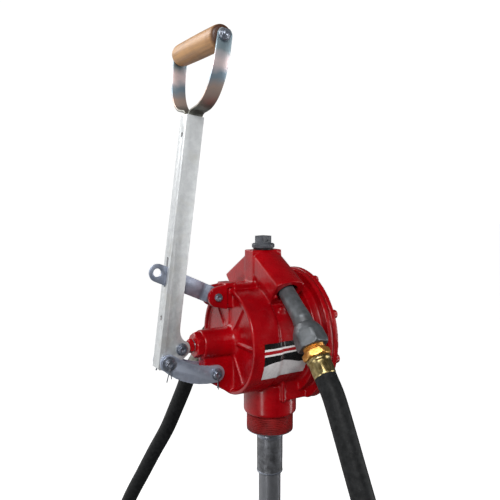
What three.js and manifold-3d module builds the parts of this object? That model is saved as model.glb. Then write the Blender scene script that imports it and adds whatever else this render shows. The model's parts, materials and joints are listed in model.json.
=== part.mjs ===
// Lever-operated double-acting piston pump for a drum, with telescoping suction tube, hose and spout.
// Millimetres, +Z up. The origin is on the axis of the bung thread, in the plane of the shoulder that
// lands on the drum. -X is the lever side, -Y the spout holder side, +Y the discharge side.

import * as THREE from 'three';
import { mergeVertices } from 'three/addons/utils/BufferGeometryUtils.js';
import Module from 'manifold-3d';

const wasm = await Module();
wasm.setup();
const { Manifold, Mesh: SolidMesh } = wasm;

// ---- Driving dimensions ----

const GAP = 0.3;                 // between pieces that touch or turn in each other

const CYLINDER_Z = 97.3;         // height of the cylinder and piston rod axis
const BORE_R = 56;
const BORE_FRONT_X = -50;
const BARREL_R = 64.3;
const BAND_R = 65.6;             // raised band behind the front rim
const FRONT_X = -62.5;           // plane of the front rim
const RECESS_X = -58.5;          // front face inside the rim
const RIM_INNER_R = 60;
const BODY_BACK_X = 35;          // joint face of the body
const FLANGE_X = 28.5;
const FLANGE_R = 85.6;
const STEP_X = 18;               // smaller step in front of the flange
const STEP_R = 75;
const FLANGE_FLAT_Z = 22;        // the flanges are cut flat underneath
const COVER_BACK_X = 43;

const BOLT_CIRCLE_R = 78.5;
const BOLT_ANGLES = [24, 64, 104, 150, 210, 256, 296, 336];   // from the top, in degrees
const BOLT_R = 3;

const GLAND_R = 17.5;
const GLAND_FRONT_X = -100;
const ROD_R = 6.35;              // half-inch rod

const THREAD_R = 30.15;          // 2 in pipe thread of the bung
const THREAD_ROOT_R = 29.3;
const BUNG_BOTTOM_Z = -24.5;
const NECK_R = 33.9;
const NECK_TOP_Z = 17;

const TOWER_X = -10.7;           // middle of the tower and of both arms
const TOWER_HALF_X = 21;
const TOWER_HALF_Y = 10.5;
const TOWER_TOP_Z = 208;
const ARM_HALF_X = 19.6;
const ARM_SLOPE = THREE.MathUtils.degToRad(30);

const MOUTH_Y = 54.5;            // where the holder and the discharge axes leave the arms
const MOUTH_Z = 160.5;
const HOLDER_R = 14;
const HOLDER_SLOPE = THREE.MathUtils.degToRad(40);
const DISCHARGE_SLOPE = THREE.MathUtils.degToRad(45);

const PIPE_R = 16.7;             // 1 in pipe
const PORT_PIPE_R = 13.35;       // 3/4 in pipe
const TUBE_R = 14.3;
const INNER_TUBE_R = 11.1;
const TUBE_BOTTOM_Z = -508;

const HOSE_R = 12.5;

const LEAN = THREE.MathUtils.degToRad(7.67);     // handle against the vertical, folded to the pump
const HANDLE_FOOT = new THREE.Vector3(-156.5, 0, 74.5);
const CHANNEL_HALF_Y = 9;
const SHEET = 2.5;
const CHANNEL_DEPTH = 21.5;
const CHANNEL_TOP = 295.4;
const GRIP_HEIGHT = 376;
const GRIP_DEPTH = 10.3;
const GRIP_HALF_Y = 55.5;
const GRIP_R = 13.2;

const ROD_PIN = new THREE.Vector3(-126.9, 0, CYLINDER_Z);
const HANDLE_PIN = new THREE.Vector3(-144.2, 0, 83.2);
const BODY_PIN = new THREE.Vector3(-83, 0, 62.2);
const PIN_R = 4;
const LINK_HOLE_CLEARANCE = 2.4; // play of the handle pin in the links, where the linkage is opened
const LINK_IN_Y = 9.4;
const LINK_OUT_Y = 12.4;

const LUG_PIN = new THREE.Vector3(-79.7, 0, 154.3);
const BAR_TILT = THREE.MathUtils.degToRad(24.5);

// ---- Materials ----

function finish(color, roughness, metalness) {
  return new THREE.MeshStandardMaterial({ color, roughness, metalness });
}

const RED = finish(0x9c0c14, 0.35, 0.1);
const ZINC = finish(0xb4b7bb, 0.45, 0.9);
const BLUE_ZINC = finish(0x8791a3, 0.4, 0.9);
const STEEL = finish(0x8d9194, 0.3, 1.0);
const DARK_STEEL = finish(0x3c3e40, 0.5, 0.8);
const BRASS = finish(0xc08a3c, 0.35, 1.0);
const GREY = finish(0x85888a, 0.4, 0.6);
const BLACK = finish(0x26282a, 0.6, 0.0);
const RUBBER = finish(0x18191a, 0.8, 0.0);
const WOOD = finish(0xc69a62, 0.6, 0.0);

// ---- Solids ----

const UP = new THREE.Vector3(0, 0, 1);

function vec(x, y, z) {
  return new THREE.Vector3(x, y, z);
}

// A closed triangle soup becomes a solid: shared corners merged, empty triangles dropped, faces out.
function solid(geometry) {
  const bare = geometry.clone();
  bare.deleteAttribute('normal');
  bare.deleteAttribute('uv');
  const merged = mergeVertices(bare, 1e-4);
  const points = merged.attributes.position.array;
  const index = merged.index.array;
  const triangles = [];
  let volume = 0;
  const corner = (i) => new THREE.Vector3().fromArray(points, 3 * i);
  for (let i = 0; i < index.length; i += 3) {
    const [a, b, c] = [index[i], index[i + 1], index[i + 2]];
    if (a === b || b === c || c === a) continue;
    triangles.push(a, b, c);
    volume += corner(a).dot(corner(b).cross(corner(c)));
  }
  if (volume < 0) triangles.reverse();
  return new Manifold(new SolidMesh({
    numProp: 3,
    vertProperties: Float32Array.from(points),
    triVerts: Uint32Array.from(triangles),
  }));
}

function asSolid(piece) {
  return piece.isBufferGeometry ? solid(piece) : piece;
}

function join(...pieces) {
  return pieces.map(asSolid).reduce((sum, piece) => sum.add(piece));
}

function cut(base, ...tools) {
  return tools.map(asSolid).reduce((rest, tool) => rest.subtract(tool), asSolid(base));
}

function common(base, tool) {
  return asSolid(base).intersect(asSolid(tool));
}

function geometryOf(piece) {
  const mesh = asSolid(piece).getMesh();
  const geometry = new THREE.BufferGeometry();
  geometry.setAttribute('position', new THREE.BufferAttribute(Float32Array.from(mesh.vertProperties), 3));
  geometry.setIndex(new THREE.BufferAttribute(Uint32Array.from(mesh.triVerts), 1));
  geometry.computeVertexNormals();
  return geometry;
}

// Local +Z is turned to the direction and the local origin moved to the start.
function aim(geometry, start, direction) {
  const turn = new THREE.Quaternion().setFromUnitVectors(UP, direction.clone().normalize());
  return geometry.applyQuaternion(turn).translate(start.x, start.y, start.z);
}

function round(start, end, radius, segments = 24, endRadius = radius) {
  const span = end.clone().sub(start);
  const length = span.length();
  const bar = new THREE.CylinderGeometry(endRadius, radius, length, segments);
  bar.rotateX(Math.PI / 2).translate(0, 0, length / 2);
  return aim(bar, start, span);
}

function hexagon(start, end, acrossFlats, turn = 0) {
  const span = end.clone().sub(start);
  const length = span.length();
  const cornerR = acrossFlats / Math.sqrt(3);
  const bar = new THREE.CylinderGeometry(cornerR, cornerR, length, 6);
  bar.rotateX(Math.PI / 2).rotateZ(turn).translate(0, 0, length / 2);
  return aim(bar, start, span);
}

// Profile of [radius, distance] pairs, turned round the line through start.
function turned(profile, start, direction, segments = 32) {
  const points = profile.map(([r, t]) => new THREE.Vector2(r, t));
  const body = new THREE.LatheGeometry(points, segments).rotateX(Math.PI / 2);
  return aim(body, start, direction);
}

function block(x0, x1, y0, y1, z0, z1) {
  const box = new THREE.BoxGeometry(x1 - x0, y1 - y0, z1 - z0);
  return box.translate((x0 + x1) / 2, (y0 + y1) / 2, (z0 + z1) / 2);
}

function extrude(shape, depth, curveSegments = 8) {
  return new THREE.ExtrudeGeometry(shape, { depth, curveSegments, bevelEnabled: false });
}

// A shape drawn in (x, z) and given thickness along Y.
function plateXZ(shape, y0, y1, curveSegments = 8) {
  return extrude(shape, y1 - y0, curveSegments).rotateX(Math.PI / 2).translate(0, y1, 0);
}

// A shape drawn in (y, z) and given thickness along X.
function plateYZ(shape, x0, x1, curveSegments = 8) {
  const cycle = new THREE.Matrix4().set(0, 0, 1, 0, 1, 0, 0, 0, 0, 1, 0, 0, 0, 0, 0, 1);
  return extrude(shape, x1 - x0, curveSegments).applyMatrix4(cycle).translate(x0, 0, 0);
}

function outline(points) {
  return new THREE.Shape(points.map(([a, b]) => new THREE.Vector2(a, b)));
}

function mirroredY(piece) {
  return asSolid(piece).mirror([0, 1, 0]);
}

const pump = new THREE.Group();

function part(name, piece, material, group = pump) {
  const mesh = new THREE.Mesh(geometryOf(piece), material);
  mesh.name = name;
  group.add(mesh);
  return mesh;
}

// ---- Body casting ----

const cylinderAxis = (x) => vec(x, 0, CYLINDER_Z);

function barrelSolid() {
  const profile = [
    [0, GLAND_FRONT_X], [16.7, GLAND_FRONT_X], [GLAND_R, GLAND_FRONT_X + 1], [18.2, -63], [19, -61],
    [22.5, -59.2], [26, RECESS_X], [RIM_INNER_R - 1.2, RECESS_X], [RIM_INNER_R, FRONT_X + 0.8],
    [RIM_INNER_R + 0.8, FRONT_X], [BAND_R - 0.8, FRONT_X], [BAND_R, FRONT_X + 0.8],
    [BAND_R, -27], [BARREL_R - 1, -25.5], [BARREL_R - 1, STEP_X - 4], [BARREL_R + 2, STEP_X],
    [BARREL_R + 2, BODY_BACK_X], [0, BODY_BACK_X],
  ];
  return turned(profile, cylinderAxis(0), vec(1, 0, 0), 40);
}

function flangeDisc(x0, x1, radius) {
  const disc = round(cylinderAxis(x0), cylinderAxis(x1), radius, 40);
  const reach = radius + 5;
  return cut(disc, block(x0 - 1, x1 + 1, -reach, reach, -reach, FLANGE_FLAT_Z));
}

function boltLine(angle, radius) {
  const a = THREE.MathUtils.degToRad(angle);
  return (x) => vec(x, -radius * Math.sin(a), CYLINDER_Z + radius * Math.cos(a));
}

function boltHoles(x0, x1) {
  return BOLT_ANGLES.map((angle) => {
    const line = boltLine(angle, BOLT_CIRCLE_R);
    return round(line(x0), line(x1), BOLT_R + GAP, 8);
  });
}

// Arm section: flat sides, crowned top; drawn square to the arm, which slopes down away from the tower.
// The end is faced square to the axis of its mouth.
function armSolid(mouthSlope) {
  const crown = 35;
  const rise = 7;
  const depth = 75;
  const section = new THREE.Shape();
  const spread = Math.asin(ARM_HALF_X / crown);
  section.moveTo(-ARM_HALF_X, -depth);
  section.lineTo(ARM_HALF_X, -depth);
  section.lineTo(ARM_HALF_X, -rise);
  section.absarc(0, -crown, crown, Math.PI / 2 - spread, Math.PI / 2 + spread, false);
  section.closePath();
  const length = 90;
  const prism = extrude(section, length, 10);
  // Local Z runs down the arm towards -Y, local Y is the arm's upward normal.
  const down = vec(0, -Math.cos(ARM_SLOPE), -Math.sin(ARM_SLOPE));
  const normal = vec(0, -Math.sin(ARM_SLOPE), Math.cos(ARM_SLOPE));
  const side = normal.clone().cross(down);
  prism.applyMatrix4(new THREE.Matrix4().makeBasis(side, normal, down));
  prism.translate(TOWER_X, -6, TOWER_TOP_Z + 2.5);
  const inside = block(-60, 40, -80, 0, 110, TOWER_TOP_Z);
  const mouth = vec(TOWER_X, -MOUTH_Y, MOUTH_Z);
  const out = vec(0, -Math.cos(mouthSlope), -Math.sin(mouthSlope));
  return cut(common(prism, inside), round(mouth, mouth.clone().addScaledVector(out, 80), 90, 8));
}

// Radial ribs on the sunk front face, from the gland to the rim.
function frontRibs() {
  return [-144, -90, -38, 0, 38, 90, 144].map((angle) => {
    const rib = block(RECESS_X - 2.6, RECESS_X + 1, -1.6, 1.6, 16, RIM_INNER_R + 1);
    return rib.rotateX(THREE.MathUtils.degToRad(angle)).translate(0, 0, CYLINDER_Z);
  });
}

function linkLug() {
  const shape = new THREE.Shape();
  shape.moveTo(-97.5, 92);
  shape.lineTo(-97.5, 66);
  shape.absarc(-85.5, 62.2, 12, Math.PI, 1.28 * Math.PI, false);
  shape.lineTo(FRONT_X, 33.4);
  shape.lineTo(-56, 33.4);
  shape.lineTo(-56, 92);
  shape.closePath();
  return plateXZ(shape, -8.6, 8.6, 10);
}

function barLug() {
  const ear = new THREE.Shape();
  ear.moveTo(-68.7, 168.6);
  ear.lineTo(-80.5, 167);
  ear.absarc(LUG_PIN.x, LUG_PIN.z, 12.4, 0.53 * Math.PI, 1.36 * Math.PI, false);
  ear.lineTo(-68.7, 138.6);
  ear.closePath();
  const ears = [plateXZ(ear, -10.8, -5.4, 10), plateXZ(ear, 5.4, 10.8, 10)];
  const neck = block(-69.6, -57, -8.2, 8.2, 139.5, 168.4);
  const shelf = block(-69.6, -56, -10.8, 10.8, 164.5, 170.4);
  const bore = round(vec(LUG_PIN.x, -20, LUG_PIN.z), vec(LUG_PIN.x, 20, LUG_PIN.z), 3.1 + GAP, 14);
  return cut(join(...ears, neck, shelf), bore);
}

// Inlet and outlet ways: bung socket, valve chambers, slots to both ends of the cylinder, discharge.
function fluidWays() {
  const discharge = vec(0, Math.cos(DISCHARGE_SLOPE), -Math.sin(DISCHARGE_SLOPE));
  const mouth = vec(TOWER_X, MOUTH_Y, MOUTH_Z);
  const back = mouth.clone().addScaledVector(discharge, -15);
  const beyond = mouth.clone().addScaledVector(discharge, 60);
  const deep = mouth.clone().addScaledVector(discharge, -52);
  const inlets = [
    round(vec(0, 0, BUNG_BOTTOM_Z - 1), vec(0, 0, -1), PIPE_R + GAP, 22),
    round(vec(0, 0, -2), vec(0, 0, 5), PIPE_R - 3, 20),
    round(vec(0, 0, 4), vec(0, 0, 22), 22, 22),
    block(-2, 30, -8, 8, 24.6, 29),
    round(vec(12, 0, 16), vec(12, 0, 26), 7, 14),
    round(vec(-14, 0, 16), vec(-14, 0, 27), 4.6, 14),
    round(vec(-14, 0, 25.6), vec(-14, 0, 38), 9, 12),
    block(-50, -14, -7, 7, 35.6, 38.6),
    block(-50, -44, -7, 7, 35.6, 46),
    round(vec(22, 0, 22), vec(22, 0, 33), 4.6, 14),
    round(vec(22, 0, 31.5), vec(22, 0, 46), 8, 12),
  ];
  const outlets = [
    block(-50, -21, -6, 6, 155.4, 158.6),
    block(-50, -44, -6, 6, 150, 158.6),
    round(vec(-22, 0, 156), vec(-22, 0, 173), 4.2, 14),
    block(2, 29, -6, 6, 155.4, 158.6),
    block(23, 29, -6, 6, 150, 158.6),
    round(vec(1, 0, 156), vec(1, 0, 173), 4.2, 14),
    block(-30, 8.6, -7.2, 7.2, 172, 196),
    round(vec(TOWER_X, 0, 195), vec(TOWER_X, 0, TOWER_TOP_Z + 1), 8.4, 14),
    round(deep, mouth, 9, 16),
    round(back, beyond, PORT_PIPE_R + GAP, 20),
  ];
  return [...inlets, ...outlets];
}

function bodySolid() {
  const neck = turned([
    [0, BUNG_BOTTOM_Z], [27, BUNG_BOTTOM_Z], [THREAD_ROOT_R, BUNG_BOTTOM_Z + 2.6], [THREAD_ROOT_R, 0],
    [NECK_R - 1.4, 0], [NECK_R, 2.2], [NECK_R, NECK_TOP_Z - 1], [NECK_R - 1, NECK_TOP_Z], [30, NECK_TOP_Z + 1],
    [30, 50], [0, 50],
  ], vec(0, 0, 0), UP, 32);
  const chest = block(-3, BODY_BACK_X, -38, 38, FLANGE_FLAT_Z, 60);
  const chestRibs = block(-6, -2.4, -39.4, 39.4, FLANGE_FLAT_Z - 1, 58);
  const tower = block(TOWER_X - TOWER_HALF_X, TOWER_X + TOWER_HALF_X, -TOWER_HALF_Y, TOWER_HALF_Y,
    130, TOWER_TOP_Z);
  const shelf = block(-58, -20, -12.3, 12.3, 158, 168.5);
  const spoutWay = vec(0, -Math.cos(HOLDER_SLOPE), -Math.sin(HOLDER_SLOPE));
  const holderMouth = vec(TOWER_X, -MOUTH_Y, MOUTH_Z);
  const holderDeep = holderMouth.clone().addScaledVector(spoutWay, -30);
  const holderOut = holderMouth.clone().addScaledVector(spoutWay, 32);
  const gland = [
    round(cylinderAxis(GLAND_FRONT_X - 1), cylinderAxis(-77.5), 13, 20),
    round(cylinderAxis(-80), cylinderAxis(BORE_FRONT_X + 1), ROD_R + GAP, 16),
  ];
  const bore = round(cylinderAxis(BORE_FRONT_X), cylinderAxis(BODY_BACK_X + 1), BORE_R, 32);
  const linkBore = round(vec(BODY_PIN.x, -20, BODY_PIN.z), vec(BODY_PIN.x, 20, BODY_PIN.z), PIN_R + GAP, 12);
  const boss = round(vec(-14, -50, 138.4), vec(-14, -40, 138.4), 4.6, 14);
  const outside = join(barrelSolid(), flangeDisc(STEP_X, BODY_BACK_X, STEP_R),
    flangeDisc(FLANGE_X, BODY_BACK_X, FLANGE_R), neck, chest, chestRibs, tower, shelf, boss,
    armSolid(HOLDER_SLOPE), mirroredY(armSolid(DISCHARGE_SLOPE)), linkLug(), barLug(), ...frontRibs());
  return cut(outside, bore, ...gland, linkBore, ...boltHoles(FLANGE_X - 1, BODY_BACK_X + 1),
    round(holderDeep, holderOut, HOLDER_R, 22), ...fluidWays());
}

part('pump_body', bodySolid(), RED);

// ---- Rear cover, gasket and bolts ----

const GASKET_X = BODY_BACK_X + GAP;
const COVER_X = GASKET_X + 1 + GAP;

const gasket = cut(flangeDisc(GASKET_X, GASKET_X + 1, FLANGE_R - 0.8),
  round(cylinderAxis(GASKET_X - 1), cylinderAxis(GASKET_X + 2), BORE_R + 1, 32),
  ...boltHoles(GASKET_X - 1, GASKET_X + 2));
part('rear_gasket', gasket, BLACK);

function coverSolid() {
  const dome = turned([
    [0, COVER_BACK_X - 1], [66, COVER_BACK_X - 1], [66, COVER_BACK_X], [58, COVER_BACK_X + 5],
    [40, COVER_BACK_X + 8.5], [14, COVER_BACK_X + 10], [13, COVER_BACK_X + 12], [0, COVER_BACK_X + 12],
  ], cylinderAxis(0), vec(1, 0, 0), 32);
  const recess = turned([
    [0, COVER_X - 1], [50, COVER_X - 1], [48, COVER_X + 5], [30, COVER_X + 12], [0, COVER_X + 14],
  ], cylinderAxis(0), vec(1, 0, 0), 20);
  const ribs = [0, 60, 120, 180, 240, 300].map((angle) => {
    const rib = block(COVER_BACK_X - 1, COVER_BACK_X + 7.5, -2, 2, 12, 66);
    return rib.rotateX(THREE.MathUtils.degToRad(angle + 44)).translate(0, 0, CYLINDER_Z);
  });
  const disc = flangeDisc(COVER_X, COVER_BACK_X, FLANGE_R);
  return cut(join(disc, dome, ...ribs), recess, ...boltHoles(COVER_X - 1, COVER_BACK_X + 1));
}

part('rear_cover', coverSolid(), RED);

BOLT_ANGLES.forEach((angle, i) => {
  const line = boltLine(angle, BOLT_CIRCLE_R);
  const head = hexagon(line(COVER_BACK_X + GAP), line(COVER_BACK_X + 6), 10);
  const shank = round(line(FLANGE_X + 1), line(COVER_BACK_X + 1), BOLT_R, 8);
  part(`cover_bolt_${i + 1}`, join(head, shank), RED);
});

// ---- Gland: packing and packing nut ----

const packing = turned([
  [ROD_R + GAP, 0], [12.6, 0], [12.6, 8], [ROD_R + GAP, 8], [ROD_R + GAP, 0],
], cylinderAxis(-86), vec(1, 0, 0), 16);
part('rod_packing', packing, BLACK);

const nutSpigot = round(cylinderAxis(GLAND_FRONT_X - GAP - 1), cylinderAxis(-86.4), 12.6, 20);
const nutHead = hexagon(cylinderAxis(-108.2), cylinderAxis(GLAND_FRONT_X - GAP), 28, Math.PI / 2);
part('packing_nut', cut(join(nutHead, nutSpigot),
  round(cylinderAxis(-110), cylinderAxis(-80), ROD_R + GAP, 16)), RED);

// ---- Vent on the tower: cap, seal, spring and poppet ----

const ventAxis = (z) => vec(TOWER_X, 0, z);
const CAP_TURN = 0.26;            // the square head stands a little askew
const capFlange = turned([
  [0, 0], [13.4, 0], [14, 0.8], [14, 4.6], [13, 5.6], [0, 5.6],
], ventAxis(TOWER_TOP_Z + 2.2), UP, 22);
const capHead = new THREE.BoxGeometry(14.6, 14.6, 10).rotateZ(CAP_TURN)
  .translate(TOWER_X, 0, TOWER_TOP_Z + 12.2);
const capStem = round(ventAxis(TOWER_TOP_Z - 8), ventAxis(TOWER_TOP_Z + 3), 8.1, 14);
const capBore = join(round(ventAxis(TOWER_TOP_Z - 6.3), ventAxis(TOWER_TOP_Z + 13), 5.6, 12),
  round(ventAxis(TOWER_TOP_Z - 9), ventAxis(TOWER_TOP_Z - 6), 3.4, 12));
const capVent = round(vec(0, 0, 0), vec(0, -12, 0), 1.3, 10).rotateZ(CAP_TURN)
  .translate(TOWER_X, 0, TOWER_TOP_Z + 11);
part('vent_cap', cut(join(capFlange, capHead, capStem), capBore, capVent), BLACK);
part('vent_seal', turned([
  [8.2 + GAP, 0], [12.6, 0], [12.6, 1.6], [8.2 + GAP, 1.6], [8.2 + GAP, 0],
], ventAxis(TOWER_TOP_Z + GAP), UP, 16), RUBBER);
part('vent_poppet', turned([
  [0, 0], [4.9, 0], [4.9, 2.4], [1.6, 2.4], [1.6, 7], [0, 7],
], ventAxis(TOWER_TOP_Z - 6), UP, 12), BRASS);

class Coil extends THREE.Curve {
  constructor(radius, height, turns) {
    super();
    Object.assign(this, { radius, height, turns });
  }

  getPoint(t, target = new THREE.Vector3()) {
    const a = 2 * Math.PI * this.turns * t;
    return target.set(this.radius * Math.cos(a), this.radius * Math.sin(a), this.height * t);
  }
}

function wire(curve, radius, steps, sides) {
  const section = new THREE.Shape();
  section.absarc(0, 0, radius, 0, 2 * Math.PI, false);
  return new THREE.ExtrudeGeometry(section, { extrudePath: curve, steps, curveSegments: sides / 2 });
}

part('vent_spring', wire(new Coil(3.6, 14.6, 4), 0.5, 36, 6)
  .translate(TOWER_X, 0, TOWER_TOP_Z - 2.7), STEEL);

// ---- Check valves: four poppets on seats in the casting ----

const VALVES = {
  inlet_valve_front: vec(-14, 0, 25.9),
  inlet_valve_rear: vec(22, 0, 31.8),
  outlet_valve_front: vec(-22, 0, 172.3),
  outlet_valve_rear: vec(1, 0, 172.3),
};
for (const [name, seat] of Object.entries(VALVES)) {
  part(name, turned([
    [0, -6], [1.8, -6], [1.8, 0], [6.4, 0], [6.4, 2.2], [2.2, 3.2], [0, 3.2],
  ], seat, UP, 12), BRASS);
}

// ---- Suction side: nipple, telescoping tube, collar and strainer ----

const drop = (z) => vec(0, 0, z);
part('pipe_nipple', cut(round(drop(-82), drop(-2.5), PIPE_R, 22),
  round(drop(-83), drop(-2), TUBE_R + GAP, 20)), DARK_STEEL);
part('tube_upper', cut(round(drop(-330), drop(-14), TUBE_R, 20), round(drop(-331), drop(-13), TUBE_R - 1.4, 20)),
  DARK_STEEL);
part('tube_collar', cut(turned([
  [0, 0], [15.5, 0], [17.5, 3], [17.5, 15], [16.5, 17], [0, 17],
], drop(-347.4), UP, 20), round(drop(-348), drop(-330), INNER_TUBE_R + GAP, 16)), BRASS);
part('tube_lower', cut(round(drop(-484), drop(-46), INNER_TUBE_R, 16),
  round(drop(-485), drop(-45), INNER_TUBE_R - 1.4, 16)), DARK_STEEL);

function strainerSolid() {
  const cup = turned([
    [0, 0], [10.5, 0], [13.5, 3], [13.5, 30], [12.4, 31.5], [0, 31.5],
  ], drop(TUBE_BOTTOM_Z), UP, 20);
  const socket = round(drop(TUBE_BOTTOM_Z + 23.5), drop(TUBE_BOTTOM_Z + 32), INNER_TUBE_R + GAP, 16);
  const core = round(drop(TUBE_BOTTOM_Z + 3), drop(TUBE_BOTTOM_Z + 24), 9, 12);
  const slots = [0, 45, 90, 135].map((angle) => block(-16, 16, -1.4, 1.4, TUBE_BOTTOM_Z + 5, TUBE_BOTTOM_Z + 19)
    .rotateZ(THREE.MathUtils.degToRad(angle)));
  return cut(cup, socket, core, ...slots);
}
part('foot_strainer', strainerSolid(), BLACK);

// ---- Discharge fittings, in a frame whose +Z leaves the discharge mouth ----

function runFrom(mouth, slope, side) {
  const group = new THREE.Group();
  group.position.copy(mouth);
  group.rotation.x = side * -(Math.PI / 2 + slope);
  pump.add(group);
  return group;
}

function ferruleSolid(start, length, topR, endR, boreR) {
  const sleeve = turned([
    [0, 0], [topR - 0.8, 0], [topR, 1], [topR, 4], [endR, 6], [endR, length - 1], [endR - 0.6, length],
    [0, length],
  ], drop(start), UP, 20);
  return cut(sleeve, round(drop(start - 1), drop(start + length + 1), boreR, 16));
}

const dischargeRun = runFrom(vec(TOWER_X, MOUTH_Y, MOUTH_Z), DISCHARGE_SLOPE, 1);
const NIPPLE_END = 138;
const SWIVEL_END = 160;
const DISCHARGE_FERRULE = 45;
part('discharge_nipple', cut(round(drop(-14), drop(NIPPLE_END), PORT_PIPE_R, 20),
  round(drop(-15), drop(NIPPLE_END + 1), 10.4, 14)), DARK_STEEL, dischargeRun);
part('discharge_swivel', cut(join(hexagon(drop(126), drop(SWIVEL_END - 8), 34),
  round(drop(SWIVEL_END - 9), drop(SWIVEL_END - GAP), 14.6, 20)),
  round(drop(125), drop(NIPPLE_END + GAP), PORT_PIPE_R + GAP, 20),
  round(drop(125), drop(SWIVEL_END + 1), 9.2, 14)), BRASS, dischargeRun);
part('discharge_ferrule', ferruleSolid(SWIVEL_END, DISCHARGE_FERRULE, 15.4, 13.4, 9.2), BRASS, dischargeRun);

// ---- Spout, adapter and ferrule, in frames whose +Z points towards the hose ----

const spoutRun = runFrom(vec(TOWER_X, -MOUTH_Y, MOUTH_Z), HOLDER_SLOPE, -1);
const SPOUT_STRAIGHT = 40;
const SPOUT_BEND = THREE.MathUtils.degToRad(11);
const socketRun = new THREE.Group();
socketRun.position.set(0, 0, SPOUT_STRAIGHT);
socketRun.rotation.x = SPOUT_BEND;
spoutRun.add(socketRun);

function spoutSolid() {
  const tube = turned([
    [0, -24], [9.2, -24], [10, -23], [10, 8], [10.4, 24], [11.4, SPOUT_STRAIGHT], [0, SPOUT_STRAIGHT],
  ], drop(0), UP, 20);
  const knee = new THREE.SphereGeometry(11.4, 24, 12).translate(0, 0, SPOUT_STRAIGHT);
  const skirt = turned([
    [0, -2], [11.4, -2], [11.4, 3], [10.8, 3.6], [10.8, 7.4], [12.4, 8.4], [16.4, 14.5], [18, 19],
    [19.3, 32], [18.6, 35], [17.6, 36.6], [0, 36.6],
  ], drop(0), UP, 24);
  const socket = common(skirt, hexagon(drop(-3), drop(38), 33.6, 0.255));
  const place = socketRun.matrix.clone().compose(socketRun.position, socketRun.quaternion, socketRun.scale);
  const socketBore = round(drop(24), drop(38), 12.6, 20);
  const way = join(round(drop(-25), drop(SPOUT_STRAIGHT + 1), 7.4, 14),
    round(drop(-1), drop(26), 7.6, 18).applyMatrix4(place), socketBore.applyMatrix4(place));
  return cut(join(tube, knee, socket.transform(place.elements)), way);
}

part('nozzle_spout', spoutSolid(), GREY, spoutRun);
part('nozzle_adapter', cut(join(round(drop(25), drop(42), 12.3, 22), hexagon(drop(41), drop(49.7), 28.5, 0.073)),
  round(drop(24), drop(50), 8, 14)), BRASS, socketRun);
part('nozzle_ferrule', ferruleSolid(50, 22, 14, 13.1, 9.2), BRASS, socketRun);

// ---- Hose: eight feet from ferrule to ferrule, hanging in one loop behind and below the pump ----

const HOSE_ROUTE = [
  [-10.7, 200.7, 16.8], [-10.7, 226.2, -8.7], [-12, 250, -44], [-16, 275, -84], [-22, 298, -124],
  [-34, 325, -170], [-45, 350, -214], [-64, 391, -290], [-76, 413, -360], [-85, 425, -445],
  [-89, 424, -536], [-87, 406, -630], [-80, 366, -720], [-70, 305, -799], [-59, 226, -855],
  [-48, 136, -886], [-38, 44, -893], [-29, -46, -876], [-21, -128, -836], [-15, -200, -775],
  [-12, -258, -695], [-10.7, -298, -602], [-10.7, -318, -502], [-10.7, -321, -402], [-10.7, -310, -310],
  [-10.7, -289, -226], [-10.7, -263, -160], [-10.7, -234, -105], [-10.7, -207, -54], [-10.7, -183, -9],
  [-10.7, -163, 29],
  [-10.7, -145.5, 60.2], [-10.7, -130.4, 78.9],
];
const HOSE_STEPS = 52;

function hoseSolid() {
  const points = HOSE_ROUTE.map(([x, y, z]) => vec(x, y, z));
  const leave = vec(0, Math.cos(DISCHARGE_SLOPE), -Math.sin(DISCHARGE_SLOPE));
  const enter = vec(0, -Math.cos(HOLDER_SLOPE + SPOUT_BEND), -Math.sin(HOLDER_SLOPE + SPOUT_BEND));
  points[0].addScaledVector(leave, 2 * GAP);
  points[points.length - 1].addScaledVector(enter, 2 * GAP);
  return wire(new THREE.CatmullRomCurve3(points), HOSE_R, HOSE_STEPS, 8);
}

part('hose', hoseSolid(), RUBBER);

// ---- Handle: channel, grip bow and grip, in a frame with +Z along the handle, +X its depth ----

const handle = new THREE.Group();
handle.position.copy(HANDLE_FOOT);
handle.rotation.y = LEAN;
pump.add(handle);

function inHandle(point) {
  const offset = point.clone().sub(HANDLE_FOOT);
  return offset.applyAxisAngle(vec(0, 1, 0), -LEAN);
}

const rodPin = inHandle(ROD_PIN);
const handlePin = inHandle(HANDLE_PIN);

function channelSolid() {
  const shape = new THREE.Shape();
  shape.moveTo(0, 3);
  shape.lineTo(0, CHANNEL_TOP);
  shape.lineTo(CHANNEL_DEPTH, CHANNEL_TOP);
  shape.lineTo(CHANNEL_DEPTH, 54);
  shape.bezierCurveTo(CHANNEL_DEPTH, 42, 25.5, 36.8, 32.2, 35.2);
  shape.absarc(rodPin.x, rodPin.z, 10.8, 0.31 * Math.PI, -0.25 * Math.PI, true);
  shape.absarc(handlePin.x, handlePin.z, 10, -0.25 * Math.PI, -0.6 * Math.PI, true);
  shape.closePath();
  const outside = plateXZ(shape, -CHANNEL_HALF_Y, CHANNEL_HALF_Y, 8);
  const hollow = block(SHEET, 60, -CHANNEL_HALF_Y + SHEET, CHANNEL_HALF_Y - SHEET, -20, CHANNEL_TOP + 1);
  const slot = block(-2, SHEET + 1, -2.5, 2.5, 96.8, 131);
  const pinHoles = [rodPin, handlePin].map((pin) =>
    round(vec(pin.x, -20, pin.z), vec(pin.x, 20, pin.z), PIN_R + GAP, 12));
  const webHoles = [61, 272.5].map((h) => round(vec(-2, 0, h), vec(4, 0, h), 3, 12));
  return cut(outside, hollow, slot, ...pinHoles, ...webHoles);
}

part('handle_channel', channelSolid(), ZINC, handle);

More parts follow.
